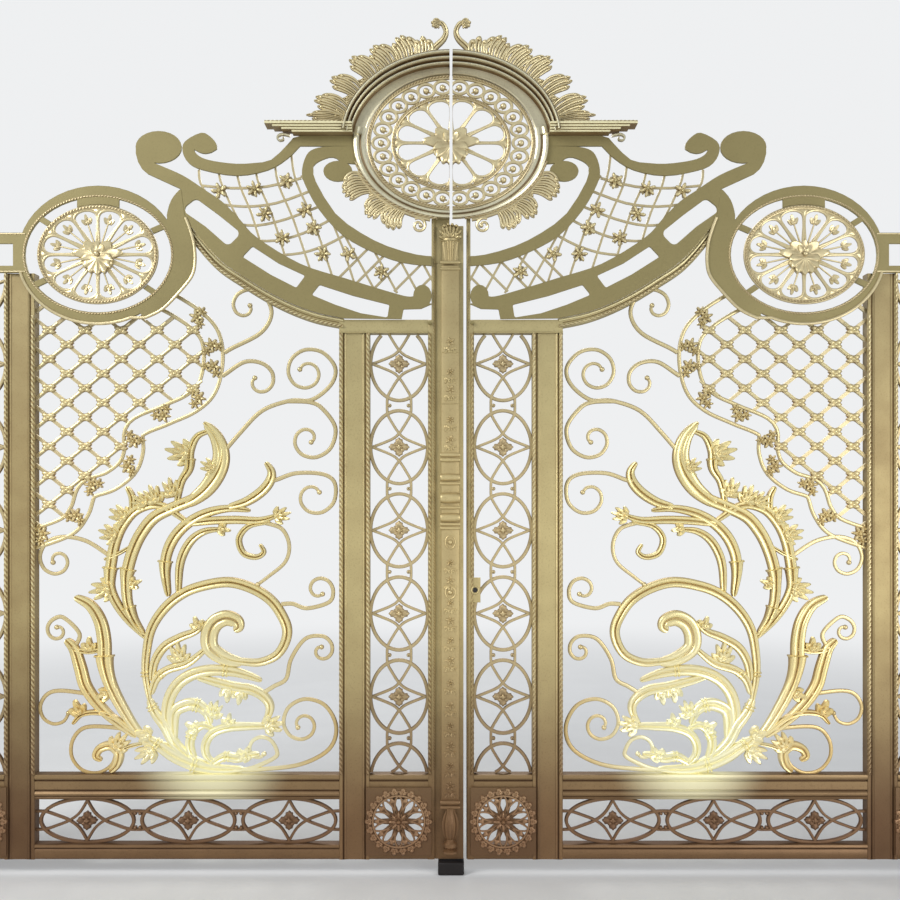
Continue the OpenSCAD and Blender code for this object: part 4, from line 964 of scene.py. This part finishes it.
# ---- Acanthus members
# Heavy cast members welded to one another and to the stiles: two raised ribs with a deep groove
# between, which swell and taper. They carry collars, flared sheaths and leaf sprigs with a bead
# at the root.
ACANTHUS_W = 46.0
ACANTHUS_T = 30.0
acanthus_list = [
    ([(456, 284), (437, 399), (442, 495), (461, 582), (509, 658), (576, 716), (653, 750),
        (768, 769), (864, 745), (941, 697), (989, 630), (1008, 572), (994, 514), (960, 471),
        (902, 447), (845, 447), (768, 462), (720, 505), (700, 553)], 0.92),
    ([(830, 446), (766, 458), (702, 500), (694, 556), (716, 602), (760, 624), (802, 612),
        (812, 588), (794, 574)], 1.5),
    ([(462, 372), (474, 447), (512, 508), (576, 546), (640, 572), (678, 612)], 0.8),
    ([(460, 316), (480, 376), (524, 415), (602, 440), (650, 474), (700, 520)], 0.75),
    ([(560, 110), (524, 200), (530, 290), (566, 356), (624, 396), (700, 414), (787, 409),
        (854, 392), (906, 372)], 1.05),
    ([(640, 388), (720, 366), (800, 346), (868, 334), (916, 306), (938, 270), (931, 232),
        (908, 196)], 0.9),
    ([(944, 190), (845, 188), (768, 183), (706, 159), (678, 111), (688, 63), (740, 24)], 0.8),
    ([(552, 130), (552, 236), (595, 272), (643, 274), (682, 246), (700, 196)], 1.1),
    ([(640, 40), (616, 110), (630, 165), (668, 192), (712, 176)], 0.8),
    ([(700, 34), (755, 66), (806, 60), (850, 70), (896, 78)], 0.8),
    ([(446, 140), (506, 102), (557, 68), (634, 34), (720, 16), (836, 16)], 1.15),
    ([(452, 300), (476, 244), (516, 190), (552, 124), (610, 70), (690, 30)], 0.95),
    ([(152, 709), (214, 676), (254, 612), (270, 534), (274, 440), (298, 352), (346, 258),
        (403, 172), (462, 118)], 1.2),
    ([(116, 538), (150, 500), (174, 426), (196, 350), (248, 275), (314, 211), (400, 146)], 1.1),
    ([(390, 164), (317, 222), (250, 244), (182, 236), (144, 198)], 0.5),
    ([(294, 6), (322, 34), (330, 80), (298, 110), (254, 98), (238, 68), (262, 52)], 0.85),
    ([(446, 540), (374, 610), (326, 675), (296, 740), (294, 800), (300, 853), (315, 929),
        (344, 996), (394, 1055), (462, 1080), (520, 1070), (570, 1036), (620, 1000)], 0.92),
    ([(430, 560), (390, 620), (365, 690), (360, 769), (365, 820), (386, 895), (420, 966),
        (473, 1030), (556, 1072), (634, 1106), (694, 1160), (738, 1230), (751, 1296), (736, 1350),
        (705, 1388), (672, 1412)], 1.05),
    ([(560, 1066), (580, 1170), (612, 1228), (618, 1298), (646, 1357), (700, 1380)], 0.7),
    ([(530, 712), (516, 812), (524, 887), (556, 954), (610, 1008), (684, 1048), (773, 1066),
        (860, 1058)], 0.95),
    ([(770, 1072), (840, 1092), (902, 1132), (938, 1176), (944, 1216), (921, 1252)], 0.9),
    ([(570, 716), (574, 828), (594, 895), (630, 946), (680, 975), (744, 982)], 0.75),
    ([(596, 1002), (697, 1016), (798, 1020), (898, 1018), (966, 1038)], 0.75),
    ([(940, 1010), (856, 996), (814, 946), (831, 887), (882, 870), (914, 890), (898, 922)], 0.55),
    ([(272, 860), (330, 885), (392, 922)], 0.35),
    ([(384, 1050), (384, 1110), (362, 1154)], 0.6),
    ([(150, 498), (211, 490), (276, 500)], 0.5),
    ([(322, 84), (376, 108), (432, 120)], 0.35),
    ([(600, 1080), (680, 1142), (728, 1216), (742, 1284), (722, 1354), (678, 1408)], 1.55)]
sprig_list = [
    ((546, 1120), 100, 54), ((606, 1286), 168, 68), ((480, 1094), 112, 54), ((714, 1224), 150, 46),
    ((356, 1026), 148, 54), ((318, 955), 160, 54), ((290, 742), 190, 60), ((574, 456), 96, 56),
    ((466, 92), 205, 58), ((768, 194), 80, 36), ((706, 232), 70, 48), ((768, 340), 270, 42),
    ((820, 328), 262, 40), ((926, 190), 10, 54), ((318, 104), 50, 54), ((284, 322), 200, 38),
    ((172, 240), 110, 44), ((211, 496), 90, 40), ((964, 1034), 15, 46), ((736, 984), -10, 34),
    ((826, 58), 60, 42), ((440, 1086), 150, 48), ((650, 586), 110, 36), ((378, 760), 20, 34),
    ((640, 170), 140, 40), ((452, 150), 160, 44)]
collar_list = [(0, 0.06), (8, 0.42), (9, 0.3), (10, 0.16), (10, 0.62), (11, 0.14), (4, 0.72),
    (3, 0.3), (7, 0.6)]
sheath_list = [(16, (296, 822), 1), (17, (368, 822), 1), (17, (357, 664), 1), (12, (273, 470), -1),
    (18, (615, 1260), 1), (19, (518, 850), 1)]
# Relief falls to 0 down the sides, so the edges of members, lobes and finial take the hollow
# colour: partly darkened paint, partly painted shade.
half_rib = [(0.5, -0.35, 0.0), (0.5, 0.1, 0.15), (0.45, 0.36, 0.8), (0.35, 0.48, 1.0),
    (0.17, 0.46, 1.0), (0.08, 0.36, 0.9), (0.035, 0.16, 0.1)]
ribbed_section = mirrored(half_rib) + [(-0.3, -0.5, 0.2), (0.3, -0.5, 0.2)]


def leaf_fan(root, turn, reach, lobes, y, back, rise=9.0, cut=0.5, tiers=2, slim=1.2):
    """Leaf of pointed lobes in one or two tiers, turned by turn degrees. A tier of size r has the
    outline r w(t) (slim cos t + 0.15, 0.85 sin t), t from -112 to 112 degrees, with w = 1 at the
    lobes' tips and 1 - cut between them. The tips lean towards the leaf's end and curl forward."""
    notch = np.abs(np.cos(np.linspace(0, lobes * np.pi, 8 * lobes + 1))) ** 2.4
    t = np.radians(112) * np.linspace(-1, 1, 8 * lobes + 1) * (0.9 + 0.1 * notch)
    w = (1 - cut * notch)[:, None]
    shape = spun(w * np.column_stack([slim * np.cos(t) + 0.15, 0.85 * np.sin(t)]), np.radians(turn))
    ahead = spun((1, 0), np.radians(turn))
    levels = [(1.0, rise * 0.6), (0.92, rise), (0.75, rise * 0.85), (0.5, rise * 0.6),
        (0.25, rise * 0.8), (0.06, rise)]
    ripple = 0.3 - 0.75 * notch
    return [embossed(root + size * shape, root + 0.1 * size * ahead, levels, front, back, ripple)
        for size, front in ((reach, y), (reach * 0.58, y - rise * 0.8))[:tiers]]


acanthus_shapes = []
acanthus_paths = []
for points, share in acanthus_list:
    path = flow(at(points), 6)
    t = np.linspace(0, 1, len(path))
    full = np.sqrt(np.sin(np.pi * t ** 0.8).clip(0, 1))
    wide = 10 + (ACANTHUS_W * share - 10) * full
    deep = ACANTHUS_T * (0.5 + 0.5 * full)
    acanthus_paths.append((path, wide))
    acanthus_shapes.append(tube(path, wide, deep, ribbed_section))
for spot, turn, reach in sprig_list:
    root = at(spot)
    acanthus_shapes += leaf_fan(root, 180 - turn, reach, 5 if reach > 44 else 3, -5, 10, 9, 0.38)
    acanthus_shapes.append(bead(root, reach * 0.16, -12, 4))
for member, share in collar_list:
    path, wide = acanthus_paths[member]
    k = int(share * (len(path) - 1))
    ahead = path[k + 1] - path[k - 1]
    ahead = ahead / np.hypot(*ahead)
    half = 0.56 * wide[k] * np.array([-ahead[1], ahead[0]])
    for mid in (path[k] - 7 * ahead, path[k] + 7 * ahead):
        acanthus_shapes.append(tube(np.linspace(mid - half, mid + half, 5), 9.0, 34.0, round_bar))
for member, rim, ahead in sheath_list:
    path, wide = acanthus_paths[member]
    k = int(np.argmin(np.hypot(*(path - at(rim)).T)))
    part = k - ahead * np.arange(9, -1, -1)
    flare = 0.98 + 0.3 * np.linspace(0, 1, len(part)) ** 2
    acanthus_shapes.append(tube(path[part], wide[part] * flare, 32 * flare, ribbed_section))
    half = np.array([path[k - 1, 1] - path[k + 1, 1], path[k + 1, 0] - path[k - 1, 0]])
    half *= 0.68 * wide[k] / np.hypot(*half)
    acanthus_shapes.append(tube(np.linspace(path[k] - half, path[k] + half, 5), 10, 42, round_bar))
# Paler than the frame, hardly darkened near the ground and with the widest floodlight glow: painted
# floodlight light on the castings.
acanthus_paint = gold_paint("acanthus_paint", (0.88, 0.75, 0.37), (0.36, 0.22, 0.07), 0.58, 0.34,
    reach=0.62, low=(1.0, 0.80, 0.50))
pair("acanthus_castings", acanthus_shapes, acanthus_paint, "acanthus")


# ---- Ring plate and side medallion
# Cut plate: a broad oval ring with a slotted arm to the hinge stile and a band that rises to the
# sweep. The cast medallion inside has twelve teardrop loops, trefoils and a leafy boss.
PLATE_Y = -37.0
RING_R = (320.0, 276.0)
HOLE_R = (292.0, 230.0)
SIDE_R = (244.0, 200.0)
MEDAL_Y = -36.0
plate_paint = gold_paint("plate_paint", (0.35, 0.285, 0.115), (0.22, 0.17, 0.065), 0.35, 0.5,
    relief=0.8)
medal_paint = gold_paint("medal_paint", (0.92, 0.77, 0.44), (0.24, 0.14, 0.05), 0.58, 0.34)
crisp_pair("ring_cut", "ring_plate", 0.002, plate_paint)


def wheel(middle, radii, count, hub, y, buds):
    """Teardrop loops whose sides meet as spokes, a pointed leaf at the rim between them and, with
    buds, a stemmed trefoil in each. Drawn in a circle of the lesser radius, then stretched
    sideways."""
    r = radii[1]
    stretch = np.array([radii[0] / r, 1])
    edge = flow([(hub * 0.7, 2), (r * 0.4, r * 0.09), (r * 0.66, r * 0.17), (r * 0.85, r * 0.2),
        (r * 0.955, r * 0.12), (r * 0.985, 2)], 6)
    loop = np.vstack([edge, (edge * [1, -1])[::-1]])
    tip = r * np.array([(0.79, 0), (0.9, 0.045), (0.99, 0.11), (1.02, 0), (0.99, -0.11),
        (0.9, -0.045)])
    made = []
    for a in spaced(count) + np.pi / count:
        made.append(tube(middle + stretch * spun(loop, a), 11.0, 12.0, flat_round, y, closed=True))
        if buds:
            stem = middle + stretch * spun([(hub * 0.7, 0), (r * 0.4, 0), (r * 0.7, 0)], a)
            made.append(tube(stem, np.array([9.0, 7.5, 6.5]), 8.0, round_section(6), y))
            made += leaf_fan(stem[2], np.degrees(a), r * 0.15, 3, y, y + 5, 4, 0.42)
        leaf = middle + stretch * spun(tip, a + np.pi / count)
        made.append(embossed(leaf, leaf.mean(0), [(1, 2), (0.6, 6), (0.1, 8)], y, y + 5))
    return made


def boss(middle, radii, leaves, y, rise):
    """Leafy shell on a low round of petals: a broad fan hangs down, a wing lies to each side and
    a small leaf stands up from the bud."""
    a = spaced(leaves * 8)
    petal = np.abs(np.cos(leaves * a / 2)) ** 0.7
    outline = middle + np.asarray(radii) * polar((0, 0), 0.45 + 0.25 * petal, a)
    made = [embossed(outline, middle, [(1.0, 2), (0.9, 5), (0.6, 6), (0.1, 6)], y, y + 8,
        petal - 0.6)]
    for turn, reach, lobes, step, cut, slim in ((4, 0.9, 3, 0, 0.35, 1.3),
            (176, 0.9, 3, 0, 0.35, 1.3), (90, 0.5, 3, 3, 0.3, 1.2), (-90, 1.05, 7, 7, 0.14, 0.85)):
        root = middle + spun((0.14 * radii[1], 0), np.radians(turn))
        made += leaf_fan(root, turn, reach * radii[1], lobes, y - 3 - step, y + 6, rise, cut, 1,
            slim)
    return made + [bead(middle, 0.15 * radii[1], y - 2 * rise, y, 12)]


medal_shapes = [hoop(SIDE_MIDDLE, grown(SIDE_R, -10), 18, 16, soft_round, MEDAL_Y),
    rope_hoop(SIDE_MIDDLE, grown(SIDE_R, -10), 4.5, 13.0, MEDAL_Y - 8),
    hoop(SIDE_MIDDLE, grown(SIDE_R, -20), 5, 8, round_section(6), PLATE_Y)]
medal_shapes += wheel(SIDE_MIDDLE, grown(SIDE_R, -16), 12, 40, MEDAL_Y, True)
medal_shapes += boss(SIDE_MIDDLE, (78, 70), 8, MEDAL_Y - 2, 8)
pair("side_medal", medal_shapes, medal_paint, "side_medallion")
ring_edge = np.vstack([oval(SIDE_MIDDLE, RING_R, 345, 246, 40), flow([(1220, 2228), (1150, 2264),
    (1078, 2338), (1034, 2396), (1022, 2452), (1026, 2520), (1042, 2580), (1060, 2628)], 5)])
trim_shapes = [rope_hoop(SIDE_MIDDLE, grown(HOLE_R, 5), 3.5, 12.0, PLATE_Y),
    tube(ring_edge, 13, 12, round_bar, PLATE_Y - 1)]
trim_shapes += [tube([(1700, z), (1900, z), (2104, z)], 6, 6, round_section(6), PLATE_Y)
    for z in (ARM_Z[0] + 5, ARM_Z[1] - 5)]
pair("ring_trim", trim_shapes, medal_paint)


# ---- Top plate and crest lattice
# Cut plates with eased edges: the slotted sweep with its scroll heads, the small band and the
# hook. Thin crossing bars riveted behind carry star flowers on their crossings.
for side in ("left_", "right_"):
    for name, node, width, paint in (("top_cut", "top_plate", 0.002, plate_paint),
            ("crest_bars", "crest_lattice", 0.001, lattice_paint)):
        crisp_copy(side + name, side + node, width, paint, side + "leaf")
star_list = [(926, 2736), (786, 2744), (658, 2776), (746, 2644), (584, 2660), (674, 2548),
    (550, 2588), (514, 2484), (410, 2484), (278, 2412)]
star_shapes = [blossom(spot, 34, 5 + k % 2, -33, 9, -26, 0.3 * k, 0.65)
    for k, spot in enumerate(star_list)]
pair("crest_stars", star_shapes, flower_paint)


# ---- Centre medallion
# Cast in two halves, one on each leaf: a roped rim, a ring of small circles with a leaf and a
# dot in each, a second rim, twelve teardrop loops and a leafy boss that the seam parts.
CROWN_MIDDLE = (0.0, 2926.0)
CROWN_R = (339.0, 271.0)
INNER_R = (232.0, 184.0)
CIRCLES = 26
crown_shapes = [hoop(CROWN_MIDDLE, grown(CROWN_R, -10), 18, 18, soft_round, PLATE_Y, 144),
    rope_hoop(CROWN_MIDDLE, grown(CROWN_R, -10), 4.5, 13.0, PLATE_Y - 9, 200),
    hoop(CROWN_MIDDLE, INNER_R, 16, 16, soft_round, PLATE_Y),
    rope_hoop(CROWN_MIDDLE, INNER_R, 4.0, 12.0, PLATE_Y - 8)]
between = np.add(CROWN_R, INNER_R) / 2 - 5
for a in np.arange(-6, 7) * 2 * np.pi / CIRCLES:
    spot = CROWN_MIDDLE + between * (np.cos(a), np.sin(a))
    crown_shapes.append(hoop(spot, (33, 26), 13, 13, flat_round, MEDAL_Y, 24))
    crown_shapes += leaf_fan(spot, 200, 15, 3, -30, -27, 3)
    crown_shapes.append(bead(spot, 12, MEDAL_Y, MEDAL_Y + 8, 12))
crown_shapes += wheel(CROWN_MIDDLE, grown(INNER_R, -8), 12, 50, MEDAL_Y, False)
crown_shapes += boss(CROWN_MIDDLE, (88, 78), 8, MEDAL_Y - 2, 8)
pair("centre_medal", crown_shapes, medal_paint, "centre_medallion", cut=True)


# ---- Arch hood
# Projecting hood over the medallion in three stepped mouldings with a flat band inside, standing
# on a cornice of four ridges. Below the cornice a plain moulded ring carries on.
BAND_R = (397.0, 303.0)
ARCH_R = (435.0, 348.0)
UNDER_R = (390.0, 302.0)
CORNICE_Z = 2956.0
CORNICE_STEP = 8.75
HOOD_Y = -73
HOOD_STEP = 18
SEAM_ANGLE = 89.2


def oval_moulding(radii, rows, start, end, count):
    """Moulding carried round an oval. A row (share, y, relief) lies at the mix of the oval radii on
    either side of the share, so share 1.5 is half way between the second and the third."""
    a = np.radians(np.linspace(start, end, count + 1))[:, None]
    shares, y, relief = np.array(rows).T
    rx, rz = (np.interp(shares, np.arange(len(radii)), side) for side in zip(*radii))
    flat = CROWN_MIDDLE + np.stack([rx * np.cos(a), rz * np.sin(a)], -1)
    return loft(stood(flat, y), relief[None])


# Relief 0 in the grooves between the mouldings darkens them: partly darkened paint, partly painted
# shade.
hood_rows = [(0.0, -25, 0.4), (0.0, -45, 0.5), (0.1, -49, 0.9), (0.2, -47, 0.7), (0.85, -47, 0.8),
    (0.92, -46, 0.0)]
for k in range(3):
    hood_rows += [(1.0 + k / 3 + a, HOOD_Y - HOOD_STEP * k + b, relief) for a, b, relief in (
        (0.0, 14, 0.0), (0.02, 8, 0.5), (0.08, 1, 1.0), (0.15, 0, 1.0), (0.21, 2, 0.9),
        (0.25, 8, 0.3), (0.27, 10, 0.0))]
hood_rows += [(2.0, -100, 0.4), (2.0, -25, 0.4)]
ring_rows = [(0.0, -26, 0.4), (0.0, -45, 0.6), (0.12, -50, 1.0), (0.35, -50, 0.9), (0.42, -44, 0.1),
    (0.5, -43, 0.0), (0.58, -48, 0.8), (0.75, -52, 1.0), (0.95, -49, 0.8), (1.0, -44, 0.6),
    (1.0, -26, 0.4)]
arch_shapes = [oval_moulding([CROWN_R, BAND_R, ARCH_R], hood_rows, 6, SEAM_ANGLE, 48),
    oval_moulding([CROWN_R, UNDER_R], ring_rows, -SEAM_ANGLE, 12, 48)]
cornice_shapes = []
for k, end in enumerate((630, 670, 705, 735)):
    z = CORNICE_Z + k * CORNICE_STEP
    front = PLATE_Y - 44 - k * 7
    deep = PLATE_Y + 8 - front
    ridge = mirrored([(0.5, -0.5, 0.0), (0.5, 0.5 - 4 / deep, 0.1), (0.42, 0.5 - 1 / deep, 1.0),
        (0.2, 0.5, 1.0)])
    line = [(end, z + 4.4), (BAND_R[0] - 6, z + 4.4)]
    cornice_shapes.append(tube(line, 8.6, deep, ridge, front + deep / 2))
cornice_shapes.append(rope([(735, 2993), (445, 2993)], 4.5, 16.0, -92))
end_curl = flow([(640, 2950), (672, 2956), (690, 2946), (684, 2932), (668, 2934), (668, 2944)], 5)
arch_shapes.append(tube(end_curl, np.linspace(13, 7, len(end_curl)), 24, round_bar, -48))
# A paler copy of the gold with a near-white crest: painted highlight on the hood's mouldings.
hood_paint_with_painted_highlight = gold_paint("hood_paint_with_painted_highlight", (1.0, 0.92, 0.64), (0.22, 0.13, 0.05), 0.6, 0.27)
pair("arch_hood", arch_shapes, hood_paint_with_painted_highlight, "arch")
# A paler, barely metallic copy of the gold: the cornice is painted as though lit from the front and
# below, painted light.
cornice_paint_with_painted_light = gold_paint("cornice_paint_with_painted_light", (1.0, 0.90, 0.54), (0.26, 0.16, 0.06), 0.2, 0.4)
pair("cornice_ridges", cornice_shapes, cornice_paint_with_painted_light)


# ---- Cresting
# Bundles of long curled lobes over the arch and under the medallion, welded to a plain bar, half
# of the finial with its leafy curl, and a round scroll beside the neck.
CREST_Y = -35.0
bundle_list = [
    ((430, 3022), (578, 3038), 14, 3), ((412, 3046), (546, 3104), 28, 4),
    ((362, 3120), (483, 3183), 28, 4), ((300, 3180), (404, 3266), 30, 4),
    ((232, 3222), (320, 3308), 34, 4), ((168, 3248), (213, 3352), 36, 4),
    ((114, 3264), (117, 3352), 26, 3), ((330, 2762), (433, 2727), 42, 5),
    ((262, 2694), (339, 2633), 30, 4), ((212, 2660), (240, 2580), 34, 4)]


def bundle(root, tip, spread, count, y, thick=12.0):
    """Lobes side by side from root to tip. Each is a grooved bar, narrower at the root, rounded
    off at the tip by sqrt(1 - x^2) and arched forward by sin(pi t)."""
    root, tip = np.asarray(root, float), np.asarray(tip, float)
    across = spread * np.array([root[1] - tip[1], tip[0] - root[0]]) / np.hypot(*(tip - root))
    half = 1.05 * spread / (count - 1)
    made = []
    t = np.linspace(0, 1, 15)
    round_end = np.sqrt((1 - (t.clip(0.8, 1) - 0.8) ** 2 / 0.042).clip(0.05, 1))
    wide = 2 * half * np.minimum(0.62 + 0.6 * t, round_end)
    for s in np.linspace(-1, 1, count):
        start = root + 0.75 * s * across
        end = tip + 0.85 * s * across - 0.16 * s * s * (tip - root)
        bow = ((0.2 * s + 0.4) * np.sin(np.pi * t))[:, None]
        path = start + t[:, None] * (end - start) + bow * across
        made.append(tube(path, wide, thick, ribbed_section, y, rise=4 * np.sin(np.pi * t)))
        made.append(bead(path[-3], half * 0.7, y - 6, y, 8))
    return made


crest_shapes = [tube(oval(CROWN_MIDDLE, grown(radii, 8), start, end, 40), 18, 14, bar_section,
    CREST_Y)
    for radii, start, end in ((ARCH_R, 13, 84), (UNDER_R, -78, -22))]
crest_shapes.append(rope(oval(CROWN_MIDDLE, grown(UNDER_R, 3), -82, -14, 60), 5.0, 20.0,
    CREST_Y - 9))
for root, tip, spread, count in bundle_list:
    crest_shapes += bundle(root, tip, spread, count, CREST_Y)
for lower, upper in zip(bundle_list[:6] + bundle_list[7:9], bundle_list[1:7] + bundle_list[8:10]):
    root = np.add(lower[0], upper[0]) / 2
    tip = np.add(lower[1], upper[1]) / 2
    crest_shapes += bundle(root, root + 0.36 * (tip - root), 12, 3, CREST_Y + 3, 9.0)
finial = flow([(100, 3262), (66, 3306), (30, 3342), (20, 3374), (36, 3404), (58, 3402),
    (62, 3386)], 5)
steps = len(finial)
crest_shapes.append(tube(finial, np.linspace(30, 12, steps), np.linspace(20, 12, steps),
    ribbed_section, CREST_Y))
crest_shapes += bundle((44, 3395), (80, 3406), 12, 3, CREST_Y - 2)
k = np.arange(49)
curl = polar((129, 2597), 31 - 0.475 * k, np.radians(60 + 10 * k))
crest_shapes.append(tube(curl, np.linspace(13, 11, len(k)), np.linspace(12, 18, len(k)), round_bar,
    CREST_Y))
crest_shapes.append(bead(curl[-1], 9, CREST_Y - 3, CREST_Y + 7))
pair("cresting_leaves", crest_shapes, medal_paint, "cresting", cut=True)


# ---- Cover column
# Cast pilaster over the meeting line: flowered capital, flat shaft with relief flowers in panels,
# round mouldings, discs and leaf drops, and a fluted vase on a knob. It rides on the left leaf.
COLUMN_U = 3.0
COLUMN_HALF = 36.0
SHAFT_Y = FRONT - 24
FOOT_Y = FRONT - 14
CAP_Y = FRONT - 8


def lathe(middle, y, profile, count=24, squash=1.0, flutes=0, depth=0.0):
    """Profile rows (radius, height) turned round an upright axis. Flutes cut r by depth|cos|."""
    a = spaced(count)
    p = np.asarray(profile, float)
    cut = 1 - depth * np.abs(np.cos(flutes * a / 2))
    r = p[:, :1] * cut[None]
    heights = np.repeat(p[:, 1:], count, 1)
    rings = np.stack([middle + r * np.cos(a), y - squash * r * np.sin(a), heights], -1)
    return loft(rings, 0.55 + 0.45 * (cut[None] - cut.min()) / np.ptp(cut) if flutes else 0.85)


edges = COLUMN_U - COLUMN_HALF, COLUMN_U + COLUMN_HALF
column_shapes = [slab(*edges, SHAFT_Y, FRONT + 7, 270, 2434, 4),
    slab(edges[0] + 4, edges[1] - 4, SHAFT_Y + 14, FRONT, 2430, 2600, 3)]
lean = np.linspace(-1, 1, 13)
across = COLUMN_U + (COLUMN_HALF + 3) * np.sin(np.radians(90 * lean))
bulge = np.sqrt(np.cos(np.radians(86 * lean))) * 0.25 + 0.75
for z, r in ((2446, 7), (2420, 5), (1680, 9), (1660, 9), (1590, 15), (1566, 7), (1508, 22),
        (1470, 7), (1430, 18), (1404, 7), (1388, 7), (296, 10), (276, 8)):
    line = np.column_stack([across, np.full(13, float(z))])
    column_shapes.append(tube(line, 2 * r * bulge, 2 * r * bulge, round_section(12), SHAFT_Y))
vase = [(16, 146), (26, 162), (33, 190), (34, 214), (28, 240), (20, 256), (22, 272)]
bell = [(20, 2440), (23, 2462), (27, 2490), (31, 2515), (33, 2530)]
knob = [(4, 93), (30, 94), (30, 101), (18, 108), (27, 118), (27, 132), (16, 142), (16, 148)]
lip = [(33, 2529), (37, 2533), (37, 2540), (30, 2544)]
column_shapes += [lathe(COLUMN_U, FOOT_Y, knob), lathe(COLUMN_U, FOOT_Y, vase, 40, 1.0, 10, 0.14),
    lathe(COLUMN_U, CAP_Y, bell, 96, 0.9, 24, 0.1), lathe(COLUMN_U, CAP_Y, lip, 24, 0.9)]
for lean, rise in ((-22, 0), (22, 0), (0, 3)):
    column_shapes += leaf_fan((COLUMN_U + lean * 0.7, 2546), 90 - lean, 34, 5, FRONT - 30 - rise,
        FRONT - 20, 5)
for u in (-24, -8, 8, 24):
    column_shapes.append(bead((COLUMN_U + u, 2598 - abs(u) / 3), 6, FRONT - 32, FRONT - 20))
for z in (1884, 2088):
    line = [(COLUMN_U - 34, z), (COLUMN_U, z), (COLUMN_U + 34, z)]
    column_shapes.append(tube(line, 4, 5, round_section(6), SHAFT_Y))
flower_heights = (2130, 2010, 1940, 1820, 1740, 1250, 1180, 1090, 1020, 940, 860, 770, 680, 600,
    520, 440, 360)
for k, z in enumerate(flower_heights):
    size = 17 if k % 2 else 20
    column_shapes.append(blossom((COLUMN_U, z), size, 5 + k % 2, SHAFT_Y + 1, 5, SHAFT_Y + 4,
        0.5 * k))
    for lean in (-1, 1):
        root = (COLUMN_U + lean * 8, z - 26)
        column_shapes += leaf_fan(root, -90 + lean * 35, 18, 3, SHAFT_Y + 1, SHAFT_Y + 4, 3)
for z in (1332, 1132):
    column_shapes.append(hoop((COLUMN_U, z), (20, 25), 6, 7, round_bar, SHAFT_Y, 28))
    column_shapes.append(bead((COLUMN_U, z), 11, SHAFT_Y, SHAFT_Y + 4, 12))
column_paint = gold_paint("column_paint", (0.66, 0.53, 0.26), (0.28, 0.18, 0.07), 0.52, 0.4)
piece("column_casting", column_shapes, LEFT, column_paint, ("cover_column",))


# ---- Lock
# Small cast plate on the front of the right meeting stile, with a round escutcheon about the
# keyhole. The lock itself lies hidden in the stile.
KEYHOLE = (96, 1140)
lock_shapes = [slab(70, 118, FRONT - 6, FRONT, 1090, 1190, 2),
    hoop(KEYHOLE, (14, 14), 6, 6, round_bar, FRONT - 7, 24)]
piece("lock_plate", lock_shapes, RIGHT, frame_paint, ("lock_case",))
# The keyhole is not cut: a thin black disc on the plate is painted shade standing for the hole.
keyhole_shade_shapes = [embossed(petalled(KEYHOLE, 10, 4, 0.05), KEYHOLE, [(1, 0.4), (0.6, 0.5), (0.1, 0.5)],
    FRONT - 6.2, FRONT - 5)]
piece("keyhole", keyhole_shade_shapes, RIGHT, black_iron)
